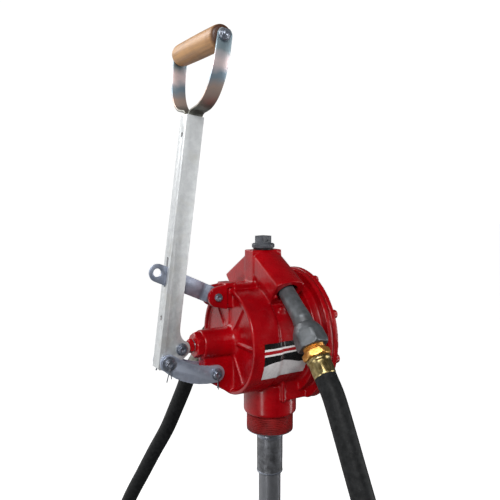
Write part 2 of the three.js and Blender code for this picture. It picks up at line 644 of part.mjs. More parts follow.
// Each strap is a band bent in the (y, h) plane, outlined by its two faces, with a round upper end.
function strapSolid() {
  const middle = new THREE.CatmullRomCurve3([
    [-4.9, 252], [-4.9, 276], [-4.9, 293.5], [-6.2, 298.6], [-10.5, 301.2], [-17, 302.2], [-28, 304.8],
    [-39.5, 312], [-49, 324], [-54.6, 338], [-57.4, 354], [-58, 372], [-58, 390],
  ].map(([y, h]) => vec(y, h, 0)));
  const samples = middle.getPoints(22);
  const side = (offset) => samples.map((p, i) => {
    const before = samples[Math.max(i - 1, 0)];
    const after = samples[Math.min(i + 1, samples.length - 1)];
    const along = after.clone().sub(before).normalize();
    return [p.x - along.y * offset, p.y + along.x * offset];
  });
  const band = plateYZ(outline([...side(1.25), ...side(-1.25).reverse()]), 2.8, 20.6);
  const face = new THREE.Shape();
  face.moveTo(2.8, 240);
  face.lineTo(20.6, 240);
  face.lineTo(20.6, GRIP_HEIGHT);
  face.absarc(11.7, GRIP_HEIGHT, 8.9, 0, Math.PI, false);
  face.closePath();
  const hole = round(vec(GRIP_DEPTH, -70, GRIP_HEIGHT), vec(GRIP_DEPTH, -40, GRIP_HEIGHT), 3.5 + GAP, 14);
  return cut(common(band, plateXZ(face, -80, 0, 10)), hole);
}

const strap = strapSolid();
part('strap_near', strap, STEEL, handle);
part('strap_far', mirroredY(strap), STEEL, handle);

const gripAxis = (y) => vec(GRIP_DEPTH, y, GRIP_HEIGHT);
part('grip', cut(turned([
  [0, 0], [10, 0], [GRIP_R - 0.6, 2.4], [GRIP_R, 6], [GRIP_R + 0.4, GRIP_HALF_Y],
  [GRIP_R, 2 * GRIP_HALF_Y - 6], [GRIP_R - 0.6, 2 * GRIP_HALF_Y - 2.4], [10, 2 * GRIP_HALF_Y],
  [0, 2 * GRIP_HALF_Y],
], gripAxis(-GRIP_HALF_Y), vec(0, 1, 0), 20), round(gripAxis(-60), gripAxis(60), 3.5 + GAP, 14)), WOOD, handle);
part('grip_bolt', join(round(gripAxis(-60), gripAxis(62.4), 3.5, 14), turned([
  [0, 0], [3.6, 0], [5.6, 1.4], [6, 2.8], [6, 3.6], [0, 3.6],
], gripAxis(-63.4), vec(0, 1, 0), 16)), STEEL, handle);
part('grip_nut', cut(hexagon(gripAxis(59.6), gripAxis(65), 11),
  round(gripAxis(59), gripAxis(63), 3.5 + GAP, 14)), STEEL, handle);

// ---- Linkage: links, pins, washers and split pins ----

function linkShape() {
  const shape = new THREE.Shape();
  const a = HANDLE_PIN;
  const b = BODY_PIN;
  shape.absarc(a.x, a.z, 10.2, 0.28 * Math.PI, 1.22 * Math.PI, false);
  shape.bezierCurveTo(-136, 61, -112, 50, b.x, b.z - 10.4);
  shape.absarc(b.x, b.z, 10.4, -0.5 * Math.PI, 0.5 * Math.PI, false);
  shape.bezierCurveTo(-100, 72.6, -117, 77.5, a.x + 6.5, a.z + 7.9);
  shape.closePath();
  return shape;
}

function linkSolid(y0, y1) {
  const handleHole = round(vec(HANDLE_PIN.x, y0 - 1, HANDLE_PIN.z), vec(HANDLE_PIN.x, y1 + 1, HANDLE_PIN.z),
    PIN_R + LINK_HOLE_CLEARANCE, 12);
  const bodyHole = round(vec(BODY_PIN.x, y0 - 1, BODY_PIN.z), vec(BODY_PIN.x, y1 + 1, BODY_PIN.z),
    PIN_R + GAP, 12);
  return cut(plateXZ(linkShape(), y0, y1, 7), handleHole, bodyHole);
}

part('link_near', linkSolid(-LINK_OUT_Y, -LINK_IN_Y), BLUE_ZINC);
part('link_far', linkSolid(LINK_IN_Y, LINK_OUT_Y), BLUE_ZINC);

// A clevis pin lies along Y, with its domed head on the near side and a split pin on the far side.
function pinSolid(x, z, halfY) {
  const at = (y) => vec(x, y, z);
  const head = turned([[0, 0], [3.8, 0.4], [5.4, 1.6], [5.8, 3], [0, 3]], at(-halfY - 3), vec(0, 1, 0), 14);
  const shank = round(at(-halfY - 1), at(halfY + 6), PIN_R, 14);
  const splitHole = round(vec(x, halfY + 3, z - 8), vec(x, halfY + 3, z + 8), 1.3, 6);
  return cut(join(head, shank), splitHole);
}

function washerSolid(x, z, y0, y1, radius) {
  const ring = round(vec(x, y0, z), vec(x, y1, z), radius, 14);
  return cut(ring, round(vec(x, y0 - 1, z), vec(x, y1 + 1, z), PIN_R + GAP, 12));
}

// Split pin through the far end of a clevis pin: an eye above it and two spread legs below.
function splitPinSolid(x, z, y) {
  const leg = (spread) => round(vec(x, y, z - 5), vec(x + spread, y, z - 15), 0.9, 6);
  const eye = new THREE.TorusGeometry(2, 0.9, 6, 10).rotateX(Math.PI / 2).translate(x, y, z + 7.4);
  return join(round(vec(x, y, z - 6), vec(x, y, z + 6), 1, 6), leg(-2.4), leg(2.4), eye);
}

const rodHalfY = CHANNEL_HALF_Y + 1.6 + GAP;
const linkHalfY = LINK_OUT_Y + 1.4 + 2 * GAP;
const inHandleFrame = [
  ['rod_pin', rodPin, rodHalfY, 7.2],
  ['handle_pin', handlePin, linkHalfY, 8.9],
];
for (const [name, at, halfY, washerR] of inHandleFrame) {
  part(name, pinSolid(at.x, at.z, halfY), STEEL, handle);
  part(`${name}_washer`, washerSolid(at.x, at.z, -halfY + GAP, -halfY + GAP + 1.2, washerR), STEEL, handle);
  part(`${name}_split`, splitPinSolid(at.x, at.z, halfY + 3), DARK_STEEL, handle);
}
part('body_pin', pinSolid(BODY_PIN.x, BODY_PIN.z, linkHalfY), STEEL);
part('body_pin_washer', washerSolid(BODY_PIN.x, BODY_PIN.z, -linkHalfY + GAP, -linkHalfY + GAP + 1.2, 7.2),
  STEEL);
part('body_pin_split', splitPinSolid(BODY_PIN.x, BODY_PIN.z, linkHalfY + 3), DARK_STEEL);

// ---- Rod and piston ----

const EYE_HALF_Y = CHANNEL_HALF_Y - SHEET - GAP;
function rodEyeSolid() {
  const eye = round(vec(ROD_PIN.x, -EYE_HALF_Y, ROD_PIN.z), vec(ROD_PIN.x, EYE_HALF_Y, ROD_PIN.z), 9, 20);
  const shank = round(cylinderAxis(ROD_PIN.x), cylinderAxis(-115.6), EYE_HALF_Y, 12);
  const bore = round(vec(ROD_PIN.x, -20, ROD_PIN.z), vec(ROD_PIN.x, 20, ROD_PIN.z), PIN_R + GAP, 12);
  return cut(join(eye, shank), bore);
}
part('rod_eye', rodEyeSolid(), RED);
part('rod_nut', cut(hexagon(cylinderAxis(-115.3), cylinderAxis(-109), 15, Math.PI / 2),
  round(cylinderAxis(-116), cylinderAxis(-108), 4.2 + GAP, 14)), RED);

const PISTON_X = -8;
const PISTON_BACK_X = 18;
const SPINDLE_R = 4.2;
part('piston_rod', join(round(cylinderAxis(-115.3), cylinderAxis(-108), SPINDLE_R, 14),
  round(cylinderAxis(-108.6), cylinderAxis(PISTON_X - GAP), ROD_R, 16),
  round(cylinderAxis(PISTON_X - 1), cylinderAxis(PISTON_BACK_X + 9), SPINDLE_R, 14)), STEEL);

const spindleBore = () => round(cylinderAxis(-30), cylinderAxis(40), SPINDLE_R + GAP, 14);
part('piston', cut(turned([
  [0, 5], [40, 5], [40, 7], [BORE_R - 1.4, 7], [BORE_R - 1.4, 19], [40, 19], [40, 21], [0, 21],
], cylinderAxis(PISTON_X), vec(1, 0, 0), 28), spindleBore()), BRASS);

// Cup seals with their lips turned away from the piston.
function cupSolid(start, direction) {
  const cup = turned([
    [0, 0], [BORE_R - 2, 0], [BORE_R - 0.6, 1.4], [BORE_R - 0.4, 7], [BORE_R - 3.4, 7], [BORE_R - 5, 3.2],
    [41.6, 2.6], [0, 2.6],
  ], cylinderAxis(start), direction, 22);
  return cup;
}
const CUP_BORE = 41;
const cupBore = () => round(cylinderAxis(-30), cylinderAxis(40), CUP_BORE, 20);
part('piston_cup_front', cut(cupSolid(PISTON_X + 6.4, vec(-1, 0, 0)), cupBore()), RUBBER);
part('piston_cup_rear', cut(cupSolid(PISTON_X + 19.6, vec(1, 0, 0)), cupBore()), RUBBER);
part('piston_nut', cut(hexagon(cylinderAxis(PISTON_BACK_X - 4.6), cylinderAxis(PISTON_BACK_X + 4), 17),
  spindleBore()), STEEL);

// ---- Lock bar: flat bar with a padlock eye, joggled beside the lug ----

const lug = new THREE.Group();
lug.position.copy(LUG_PIN);
lug.rotation.y = BAR_TILT;
pump.add(lug);

function lockBarSolid() {
  const face = new THREE.Shape();
  face.absarc(0, 0, 9.4, -0.5 * Math.PI, 0.5 * Math.PI, false);
  face.lineTo(-8, 10.4);
  face.lineTo(-66, 10.4);
  face.absarc(-79, 0, 10.6, 0.5 * Math.PI, 1.5 * Math.PI, false);
  face.lineTo(-8, -10.4);
  face.closePath();
  const plan = outline([
    [-92, -1.5], [-22, -1.5], [-18, 1], [-14, 1], [-10, -1.5], [12, -1.5], [12, 1.5],
    [-9, 1.5], [-13, 4], [-19, 4], [-23, 1.5], [-92, 1.5],
  ]);
  const joggled = extrude(plan, 40).translate(0, 0, -20);
  const pinHole = round(vec(0, -10, 0), vec(0, 10, 0), 3.1 + GAP, 14);
  const eye = round(vec(-80, -10, 0), vec(-80, 10, 0), 5, 14);
  return cut(common(joggled, plateXZ(face, -8, 8, 8)), pinHole, eye);
}

part('lock_bar', lockBarSolid(), BLUE_ZINC, lug);
part('lock_pin', join(round(vec(0, -12, 0), vec(0, 13, 0), 3.1, 14), turned([
  [0, 0], [3, 0.3], [4.6, 1.4], [5, 2.6], [0, 2.6],
], vec(0, -13.8, 0), vec(0, 1, 0), 14)), STEEL, lug);

export default pump;
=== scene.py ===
# Lever-operated piston drum pump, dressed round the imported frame. Lengths are in millimetres until a mesh is
# made, then metres. +Z is up, -X the lever side, -Y the spout holder side.

import json
import math

import bmesh
import bpy
from mathutils import Matrix, Vector


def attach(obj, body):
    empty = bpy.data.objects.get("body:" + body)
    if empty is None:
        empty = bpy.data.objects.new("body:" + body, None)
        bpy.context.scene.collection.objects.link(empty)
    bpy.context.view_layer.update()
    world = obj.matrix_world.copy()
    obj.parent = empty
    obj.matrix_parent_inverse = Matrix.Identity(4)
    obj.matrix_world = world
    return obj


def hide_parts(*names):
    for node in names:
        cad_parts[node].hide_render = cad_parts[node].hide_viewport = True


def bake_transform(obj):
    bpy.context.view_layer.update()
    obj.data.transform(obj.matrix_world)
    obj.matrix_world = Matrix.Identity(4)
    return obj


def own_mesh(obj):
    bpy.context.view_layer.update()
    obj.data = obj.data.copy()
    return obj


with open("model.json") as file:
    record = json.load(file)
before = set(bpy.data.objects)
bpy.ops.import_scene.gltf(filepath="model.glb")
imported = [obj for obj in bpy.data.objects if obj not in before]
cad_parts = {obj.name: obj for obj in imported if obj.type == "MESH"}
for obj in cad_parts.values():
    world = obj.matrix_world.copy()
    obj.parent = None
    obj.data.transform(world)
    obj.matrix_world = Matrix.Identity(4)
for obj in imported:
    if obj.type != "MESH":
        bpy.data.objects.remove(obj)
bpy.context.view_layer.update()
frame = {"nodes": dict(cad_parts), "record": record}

MM = 0.001
SCENE = bpy.context.scene
RECORD = frame["record"]
SLOT_OF = {row["node"]: row["material_slot"] for row in RECORD["subparts"]}
BODY_OF = {node: body for body, nodes in RECORD["behaviour"]["bodies"].items() for node in nodes}

X = Vector((1, 0, 0))
Y = Vector((0, 1, 0))
Z = Vector((0, 0, 1))
ORIGIN = Vector((0, 0, 0))

# ---- Camera ----

CAMERA_AT = Vector((-0.4037, -0.6425, 0.2743))
AZIMUTH = math.radians(30.2)
PITCH = math.radians(5.1)
LENS_MM = 43.34
SENSOR_MM = 36


def make_camera():
    data = bpy.data.cameras.new("camera")
    data.lens = LENS_MM
    data.sensor_width = SENSOR_MM
    data.clip_end = 100
    camera = bpy.data.objects.new("camera", data)
    level = math.cos(PITCH)
    forward = Vector((math.sin(AZIMUTH) * level, math.cos(AZIMUTH) * level, -math.sin(PITCH)))
    camera.location = CAMERA_AT
    camera.rotation_euler = forward.to_track_quat("-Z", "Y").to_euler()
    SCENE.collection.objects.link(camera)
    SCENE.camera = camera


make_camera()

# ---- Materials ----


class Nodes:
    """A material's node tree, with short calls for what the finishes below are made of."""

    def __init__(self, name):
        self.material = bpy.data.materials.new(name)
        self.material.use_nodes = True
        self.tree = self.material.node_tree
        self.shader = next(n for n in self.tree.nodes if n.type == "BSDF_PRINCIPLED")
        self.place = self.add("ShaderNodeTexCoord").outputs["Object"]

    def add(self, kind, **settings):
        node = self.tree.nodes.new(kind)
        for key, value in settings.items():
            setattr(node, key, value)
        return node

    def link(self, source, target):
        self.tree.links.new(source, target)

    def noise(self, size_mm, detail=3.0, roughness=0.55, stretch=None, distortion=0.0):
        node = self.add("ShaderNodeTexNoise")
        node.inputs["Scale"].default_value = 1000.0 / size_mm
        node.inputs["Detail"].default_value = detail
        node.inputs["Roughness"].default_value = roughness
        node.inputs["Distortion"].default_value = distortion
        place = self.place
        if stretch:
            mapping = self.add("ShaderNodeMapping")
            mapping.inputs["Scale"].default_value = stretch
            self.link(place, mapping.inputs["Vector"])
            place = mapping.outputs["Vector"]
        self.link(place, node.inputs["Vector"])
        return node.outputs["Fac"]

    def spread(self, value, low, high, out_low=0.0, out_high=1.0):
        node = self.add("ShaderNodeMapRange")
        node.clamp = True
        limits = (("From Min", low), ("From Max", high), ("To Min", out_low), ("To Max", out_high))
        for name, number in limits:
            node.inputs[name].default_value = number
        self.link(value, node.inputs["Value"])
        return node.outputs["Result"]

    def mix(self, factor, first, second, blend="MIX"):
        node = self.add("ShaderNodeMix", data_type="RGBA", blend_type=blend)
        self.link(factor, node.inputs["Factor"])
        for socket, value in ((node.inputs[6], first), (node.inputs[7], second)):
            if isinstance(value, tuple):
                socket.default_value = value
            else:
                self.link(value, socket)
        return node.outputs[2]

    def bump(self, height, distance_mm, strength=1.0, under=None):
        node = self.add("ShaderNodeBump")
        node.inputs["Distance"].default_value = distance_mm * MM
        node.inputs["Strength"].default_value = strength
        self.link(height, node.inputs["Height"])
        if under is not None:
            self.link(under, node.inputs["Normal"])
        return node.outputs["Normal"]

    def place_along(self, axis):
        """The object's own coordinate along X, Y or Z, in metres."""
        parts = self.add("ShaderNodeSeparateXYZ")
        self.link(self.place, parts.inputs["Vector"])
        return parts.outputs[axis]

    def pointiness(self, low, high):
        geometry = self.add("ShaderNodeNewGeometry")
        return self.spread(geometry.outputs["Pointiness"], low, high)

    def finish(self, color, rough, normal=None, metallic=0.0, coat=0.0, coat_rough=0.1, specular=0.5):
        inputs = self.shader.inputs
        if isinstance(color, tuple):
            inputs["Base Color"].default_value = color
        else:
            self.link(color, inputs["Base Color"])
        if isinstance(rough, float):
            inputs["Roughness"].default_value = rough
        else:
            self.link(rough, inputs["Roughness"])
        if normal is not None:
            self.link(normal, inputs["Normal"])
        inputs["Metallic"].default_value = metallic
        inputs["Coat Weight"].default_value = coat
        inputs["Coat Roughness"].default_value = coat_rough
        inputs["Specular IOR Level"].default_value = specular
        return self.material


def rgb(text):
    """A screen colour, such as 'a01018', as linear RGBA."""
    channels = [int(text[i:i + 2], 16) / 255 for i in (0, 2, 4)]
    return tuple(c / 12.92 if c <= 0.04045 else ((c + 0.055) / 1.055) ** 2.4 for c in channels) + (1.0,)


def cast_paint(name, dark, light, edge):
    """Glossy paint over a fine sand-cast surface: pits and runs, with a painted highlight in the edge colour
    along convex edges.
    """
    n = Nodes(name)
    cloud = n.spread(n.noise(34, 4), 0.35, 0.68)
    color = n.mix(cloud, dark, light)
    speck = n.spread(n.noise(1.6, 2), 0.62, 0.8, 0.0, 0.12)
    color = n.mix(speck, color, dark)
    # Painted highlight: convex edges, found by pointiness, take the lighter edge colour.
    color = n.mix(n.pointiness(0.53, 0.66), color, edge)
    rough = n.spread(n.noise(9, 4), 0.3, 0.7, 0.2, 0.36)
    swell = n.bump(n.noise(11, 2), 0.3, 0.5)
    normal = n.bump(n.noise(1.5, 3), 0.09, 0.7, swell)
    return n.finish(color, rough, normal, coat=0.22, coat_rough=0.08, specular=0.3)


def worn_paint(name, dark, light, low_dark):
    """Thin dull paint on a thread, darker in patches towards its lower end."""
    n = Nodes(name)
    color = n.mix(n.spread(n.noise(12, 4), 0.35, 0.68), dark, light)
    # Darker in patches towards the thread's lower end.
    low = n.spread(n.place_along("Z"), -0.025, -0.014, 0.75, 0.0)
    patch = n.add("ShaderNodeMath", operation="MULTIPLY")
    n.link(low, patch.inputs[0])
    n.link(n.spread(n.noise(5, 3), 0.3, 0.6), patch.inputs[1])
    color = n.mix(patch.outputs["Value"], color, low_dark)
    return n.finish(color, n.spread(n.noise(4, 3), 0.3, 0.7, 0.5, 0.65), specular=0.25)


def plated(name, dark, light, stain, rough, size, scratch=(1, 1, 1), metallic=1.0, grain=0.03):
    """Plated or bare metal: cloudy plating, stains and fine scratches, long where scratch is small, with a
    painted highlight in the light colour along convex edges.
    """
    n = Nodes(name)
    cloud = n.spread(n.noise(size, 5, 0.62, distortion=0.4), 0.36, 0.66)
    color = n.mix(cloud, dark, light)
    patch = n.spread(n.noise(size * 2.7, 4), 0.56, 0.74, 0.0, 0.7)
    color = n.mix(patch, color, stain)
    # Painted highlight: convex edges, found by pointiness, take the light colour.
    color = n.mix(n.pointiness(0.53, 0.62), color, light)
    streak = n.noise(3.2, 3, 0.6, stretch=scratch)
    roughness = n.spread(streak, 0.3, 0.7, rough[0], rough[1])
    fine = n.bump(streak, grain, 0.6)
    normal = n.bump(n.noise(size * 0.6, 3), grain * 2.2, 0.5, fine)
    return n.finish(color, roughness, normal, metallic=metallic)


def rubber(name, dark, light, scuff, rough=(0.42, 0.68), grain=0.08, size=7.0, specular=0.25):
    """Rubber or dull plastic, cloudy and scuffed."""
    n = Nodes(name)
    cloud = n.spread(n.noise(size, 5, 0.65), 0.38, 0.66)
    color = n.mix(cloud, dark, light)
    mark = n.spread(n.noise(size * 0.45, 4, 0.7), 0.6, 0.76, 0.0, 0.55)
    color = n.mix(mark, color, scuff)
    roughness = n.spread(n.noise(size * 0.8, 3), 0.3, 0.7, rough[0], rough[1])
    normal = n.bump(n.noise(1.2, 3), grain, 0.7)
    return n.finish(color, roughness, normal, specular=specular)


def wood(name, dark, light, ring, near_end_shade):
    """Turned hardwood with its grain along Y, with painted shade darkening its near end by the strap."""
    n = Nodes(name)
    grain = n.spread(n.noise(3.4, 4, 0.6, stretch=(1, 0.06, 1)), 0.32, 0.7)
    color = n.mix(grain, dark, light)
    fibre = n.noise(0.9, 2, 0.5, stretch=(1, 0.03, 1))
    color = n.mix(n.spread(fibre, 0.6, 0.78, 0.0, 0.75), color, ring)
    cloud = n.spread(n.noise(28, 3), 0.45, 0.75, 0.0, 0.45)
    color = n.mix(cloud, color, ring)
    # Painted shade: the near end, by the strap, darkens towards the shade colour.
    color = n.mix(n.spread(n.place_along("Y"), -0.0545, -0.0485, 1.0, 0.0), color, near_end_shade)
    rough = n.spread(grain, 0.0, 1.0, 0.38, 0.58)
    return n.finish(color, rough, n.bump(fibre, 0.06, 0.7), coat=0.15, coat_rough=0.3)


def printed(name, ink, shade):
    """Printed label film, a little scuffed."""
    n = Nodes(name)
    color = n.mix(n.spread(n.noise(14, 4), 0.4, 0.7), ink, shade)
    rough = n.spread(n.noise(3, 3), 0.3, 0.7, 0.22, 0.36)
    return n.finish(color, rough, n.bump(n.noise(8, 2), 0.05, 0.4), coat=0.3, coat_rough=0.15)


# The third colour is the painted highlight along the casting's convex edges.
RED = cast_paint("red_cast_paint", rgb("8c0009"), rgb("a8000c"), rgb("bc161c"))
RED_THREAD = worn_paint("red_thin_paint", rgb("6d0808"), rgb("8c0b0d"), rgb("2a1512"))
ZINC = plated("zinc_sheet", rgb("c8cbcd"), rgb("dee1e2"), rgb("c2c1ba"), (0.44, 0.58), 8, (1, 1, 0.12),
              metallic=0.6, grain=0.012)
BLUE_ZINC = plated("blue_zinc", rgb("a9b3c8"), rgb("c8d2e4"), rgb("adadb6"), (0.34, 0.48), 7, (0.2, 1, 1),
                   metallic=0.65, grain=0.015)
HASP_ZINC = plated("hasp_zinc", rgb("878fa1"), rgb("a5adbe"), rgb("8c8a91"), (0.34, 0.48), 7, (0.2, 1, 1),
                   metallic=0.65, grain=0.015)
STEEL = plated("polished_steel", rgb("8e9aa6"), rgb("b9bfc5"), rgb("ad988a"), (0.24, 0.34), 15, (0.4, 1, 1),
               metallic=0.7, grain=0.004)

# Height in the scene and colour of each band of painted reflection on the straps.
STRAP_REFLECTIONS = (
    (372, rgb("75756d")), (384, rgb("c9b2a6")), (391, rgb("cdb6aa")), (401, rgb("8fa3b1")),
    (406, rgb("8fa3b1")), (415, rgb("ead9da")), (420, rgb("ead9da")), (430, rgb("8a9ca4")),
    (444, rgb("7d919c")), (454, rgb("a9b1b6")),
)


def strap_steel(name):
    """Spring steel with soft painted reflection bands that change along its height."""
    n = Nodes(name)
    sway = n.spread(n.noise(24, 2), 0.3, 0.7, -0.004, 0.004)
    level = n.add("ShaderNodeMath", operation="ADD")
    n.link(n.place_along("Z"), level.inputs[0])
    n.link(sway, level.inputs[1])
    color = STRAP_REFLECTIONS[0][1]
    # Painted reflections: colour bands by height stand in for the surroundings mirrored in the bent steel.
    for (low, _), (high, reflection) in zip(STRAP_REFLECTIONS, STRAP_REFLECTIONS[1:]):
        color = n.mix(n.spread(level.outputs["Value"], low * MM, high * MM), color, reflection)
    color = n.mix(n.spread(n.noise(2.6, 3), 0.5, 0.75, 0.0, 0.22), color, rgb("a8adb1"))
    rough = n.spread(n.noise(6, 3), 0.3, 0.7, 0.32, 0.38)
    return n.finish(color, rough, metallic=0.6)


STRAP_STEEL = strap_steel("strap_steel")
PIN_STEEL = plated("pin_steel", rgb("676f80"), rgb("a7adb9"), rgb("5d5a5c"), (0.28, 0.42), 5, metallic=0.8,
                   grain=0.02)
DARK_STEEL = plated("dark_pipe", rgb("505154"), rgb("7f8186"), rgb("635d56"), (0.36, 0.48), 8, (1, 1, 0.15),
                    metallic=0.7, grain=0.005)
WIRE_STEEL = plated("wire_steel", rgb("4b4e55"), rgb("8d929b"), rgb("4b4541"), (0.3, 0.5), 4)
BRASS = plated("brass_gold", rgb("c88634"), rgb("ecb768"), rgb("b67c3c"), (0.3, 0.44), 6, metallic=0.85,
               grain=0.015)
OLIVE_BRASS = plated("brass_olive", rgb("7c6a40"), rgb("b4a475"), rgb("6b5a3e"), (0.24, 0.36), 9,
                     (1, 0.2, 0.2), metallic=0.9, grain=0.01)
AGED_BRASS = plated("brass_aged", rgb("67645a"), rgb("999588"), rgb("55503f"), (0.28, 0.42), 7, metallic=0.85,
                    grain=0.02)
GREY_CAST = plated("grey_casting", rgb("5c6063"), rgb("787c80"), rgb("666869"), (0.36, 0.5), 10, metallic=0.6,
                   grain=0.02)
DARK_CAST = plated("dark_ring", rgb("3f4143"), rgb("67696c"), rgb("4c4a49"), (0.35, 0.55), 5, metallic=0.7)
CHARCOAL = rubber("charcoal_cap", rgb("3f4146"), rgb("5a5d64"), rgb("74777c"), (0.25, 0.45), 0.1, 5)
SEAL = rubber("seal_rubber", rgb("141414"), rgb("222222"), rgb("303030"))
HOSE = rubber("hose_rubber", rgb("1a1b1c"), rgb("292a2b"), rgb("454649"), (0.36, 0.6), 0.2, 6, specular=0.1)
# The last colour is the painted shade at the grip's near end.
WOOD = wood("grip_wood", rgb("b3824e"), rgb("d3a066"), rgb("8d5a2b"), rgb("4a2c1c"))
LABEL_BLACK = printed("label_black", rgb("0c0c0d"), rgb("1b1b1d"))
LABEL_WHITE = printed("label_white", rgb("f6f4f3"), rgb("e9e6e5"))
LABEL_RED = printed("label_red", rgb("b01820"), rgb("9c1219"))
LABEL_SILVER = printed("label_silver", rgb("d0ccce"), rgb("eae8e9"))

BY_SLOT = {
    "red_paint": RED, "zinc_handle": ZINC, "zinc_link": BLUE_ZINC, "bright_steel": STEEL,
    "dark_steel": DARK_STEEL, "brass": BRASS, "grey_paint": GREY_CAST, "charcoal": CHARCOAL, "seal": SEAL,
    "hose_rubber": HOSE, "grip_wood": WOOD,
}

# ---- Mesh helpers ----


class Shell:
    """Closed bodies gathered in one mesh, in millimetres."""

    def __init__(self):
        self.points = []
        self.faces = []
        self.kinds = []

    def add(self, points, faces, kind=0):
        start = len(self.points)
        self.points += [Vector(p) for p in points]
        self.faces += [[start + i for i in face] for face in faces]
        self.kinds += [kind] * len(faces)
        return self

    def mesh(self, name):
        mesh = bpy.data.meshes.new(name)
        mesh.from_pydata([p * MM for p in self.points], [], self.faces)
        mesh.polygons.foreach_set("material_index", self.kinds)
        made = bmesh.new()
        made.from_mesh(mesh)
        bmesh.ops.recalc_face_normals(made, faces=made.faces)
        made.to_mesh(mesh)
        made.free()
        return mesh

    def object(self, name, *materials, smooth=35):
        return place_mesh(self.mesh(name), name, materials, smooth)


def place_mesh(mesh, name, materials, smooth=35):
    obj = bpy.data.objects.new(name, mesh)
    for i, material in enumerate(materials):
        if i < len(mesh.materials):
            mesh.materials[i] = material
        else:
            mesh.materials.append(material)
    soften(mesh, smooth)
    SCENE.collection.objects.link(obj)
    return obj


def soften(mesh, angle):
    mesh.shade_smooth()
    mesh.set_sharp_from_angle(angle=math.radians(angle))


def baked(obj, smooth):
    """The object with its modifiers worked into its mesh."""
    graph = bpy.context.evaluated_depsgraph_get()
    mesh = bpy.data.meshes.new_from_object(obj.evaluated_get(graph))
    obj.modifiers.clear()
    old = obj.data
    obj.data = mesh
    bpy.data.meshes.remove(old)
    soften(obj.data, smooth)
    return obj


def edged(obj, width_mm, smooth):
    """Rounded edges, worked into the mesh."""
    modifier = obj.modifiers.new("edges", "BEVEL")
    modifier.width = width_mm * MM
    modifier.segments = 2
    modifier.limit_method = "ANGLE"
    modifier.angle_limit = math.radians(34)
    modifier.harden_normals = False
    return baked(obj, smooth)


def axes_for(direction):
    """Two directions square to a direction."""
    along = direction.normalized()
    first = along.cross(Z if abs(along.z) < 0.9 else X).normalized()
    return first, along.cross(first), along


def lathe(profile, start, direction, segments=64, shape=None):
    """Points and faces of a closed turned body. shape(angle, radius, distance) may change the radius."""
    first, second, along = axes_for(direction)
    points, rings = [], []
    for radius, distance in profile:
        if radius <= 0:
            rings.append([len(points)])
            points.append(start + along * distance)
            continue
        ring = []
        for i in range(segments):
            a = 2 * math.pi * i / segments
            r = shape(a, radius, distance) if shape else radius
            ring.append(len(points))
            points.append(start + along * distance + (first * math.cos(a) + second * math.sin(a)) * r)
        rings.append(ring)
    faces = []
    pairs = list(zip(rings, rings[1:]))
    if len(rings[0]) > 1:
        pairs.append((rings[-1], rings[0]))
    for low, high in pairs:
        for i in range(segments):
            j = (i + 1) % segments
            if len(low) == 1 and len(high) == 1:
                continue
            if len(low) == 1:
                faces.append([low[0], high[j], high[i]])
            elif len(high) == 1:
                faces.append([low[i], low[j], high[0]])
            else:
                faces.append([low[i], low[j], high[j], high[i]])
    return points, faces


def prism(outline, start, end, first, second):
    """Points and faces of a flat outline carried from start to end."""
    count = len(outline)
    points = [base + first * a + second * b for base in (start, end) for a, b in outline]
    faces = [list(range(count))[::-1], list(range(count, 2 * count))]
    for i in range(count):
        j = (i + 1) % count
        faces.append([i, j, count + j, count + i])
    return points, faces


def box(low, high):
    (x0, y0, z0), (x1, y1, z1) = low, high
    return prism([(x0, y0), (x1, y0), (x1, y1), (x0, y1)], Z * z0, Z * z1, X, Y)


def arc(cx, cy, radius, start, end, steps):
    """Points of an arc, with its angles in degrees."""
    angles = [math.radians(start + (end - start) * i / steps) for i in range(steps + 1)]
    return [(cx + radius * math.cos(a), cy + radius * math.sin(a)) for a in angles]


def hex_shape(across, turn):
    """Radius limit of a hexagon at an angle, for lathe: a turned chamfer cut by six flats."""
    def shape(angle, radius, distance):
        part = (angle - turn) % (math.pi / 3) - math.pi / 6
        return min(radius, across / 2 / math.cos(part))
    return shape


def catmull(points, steps):
    """A smooth line through points, steps to each span."""
    ends = [2 * points[0] - points[1]] + points + [2 * points[-1] - points[-2]]
    line = []
    for i in range(1, len(ends) - 2):
        a, b, c, d = ends[i - 1:i + 3]
        for k in range(steps):
            t = k / steps
            line.append(0.5 * (2 * b + (c - a) * t + (2 * a - 5 * b + 4 * c - d) * t ** 2
                               + (3 * b - a - 3 * c + d) * t ** 3))
    line.append(points[-1].copy())
    return line


def ring_faces(one, other, segments):
    """Faces between two rings of points, each given by its first point's number."""
    after = [(k + 1) % segments for k in range(segments)]
    return [[one + k, one + after[k], other + after[k], other + k] for k in range(segments)]


def tube(line, radius, sides):
    """Points and faces of a round rod along a line, its section carried without twist."""
    points, faces = [], []
    along = (line[1] - line[0]).normalized()
    first = axes_for(along)[0]
    for i, centre in enumerate(line):
        after = line[min(i + 1, len(line) - 1)]
        before = line[max(i - 1, 0)]
        along = (after - before).normalized()
        first = (first - along * first.dot(along)).normalized()
        second = along.cross(first)
        for k in range(sides):
            a = 2 * math.pi * k / sides
            points.append(centre + (first * math.cos(a) + second * math.sin(a)) * radius)
    for i in range(len(line) - 1):
        faces += ring_faces(i * sides, (i + 1) * sides, sides)
    faces.append(list(range(sides))[::-1])
    faces.append([(len(line) - 1) * sides + k for k in range(sides)])
    return points, faces


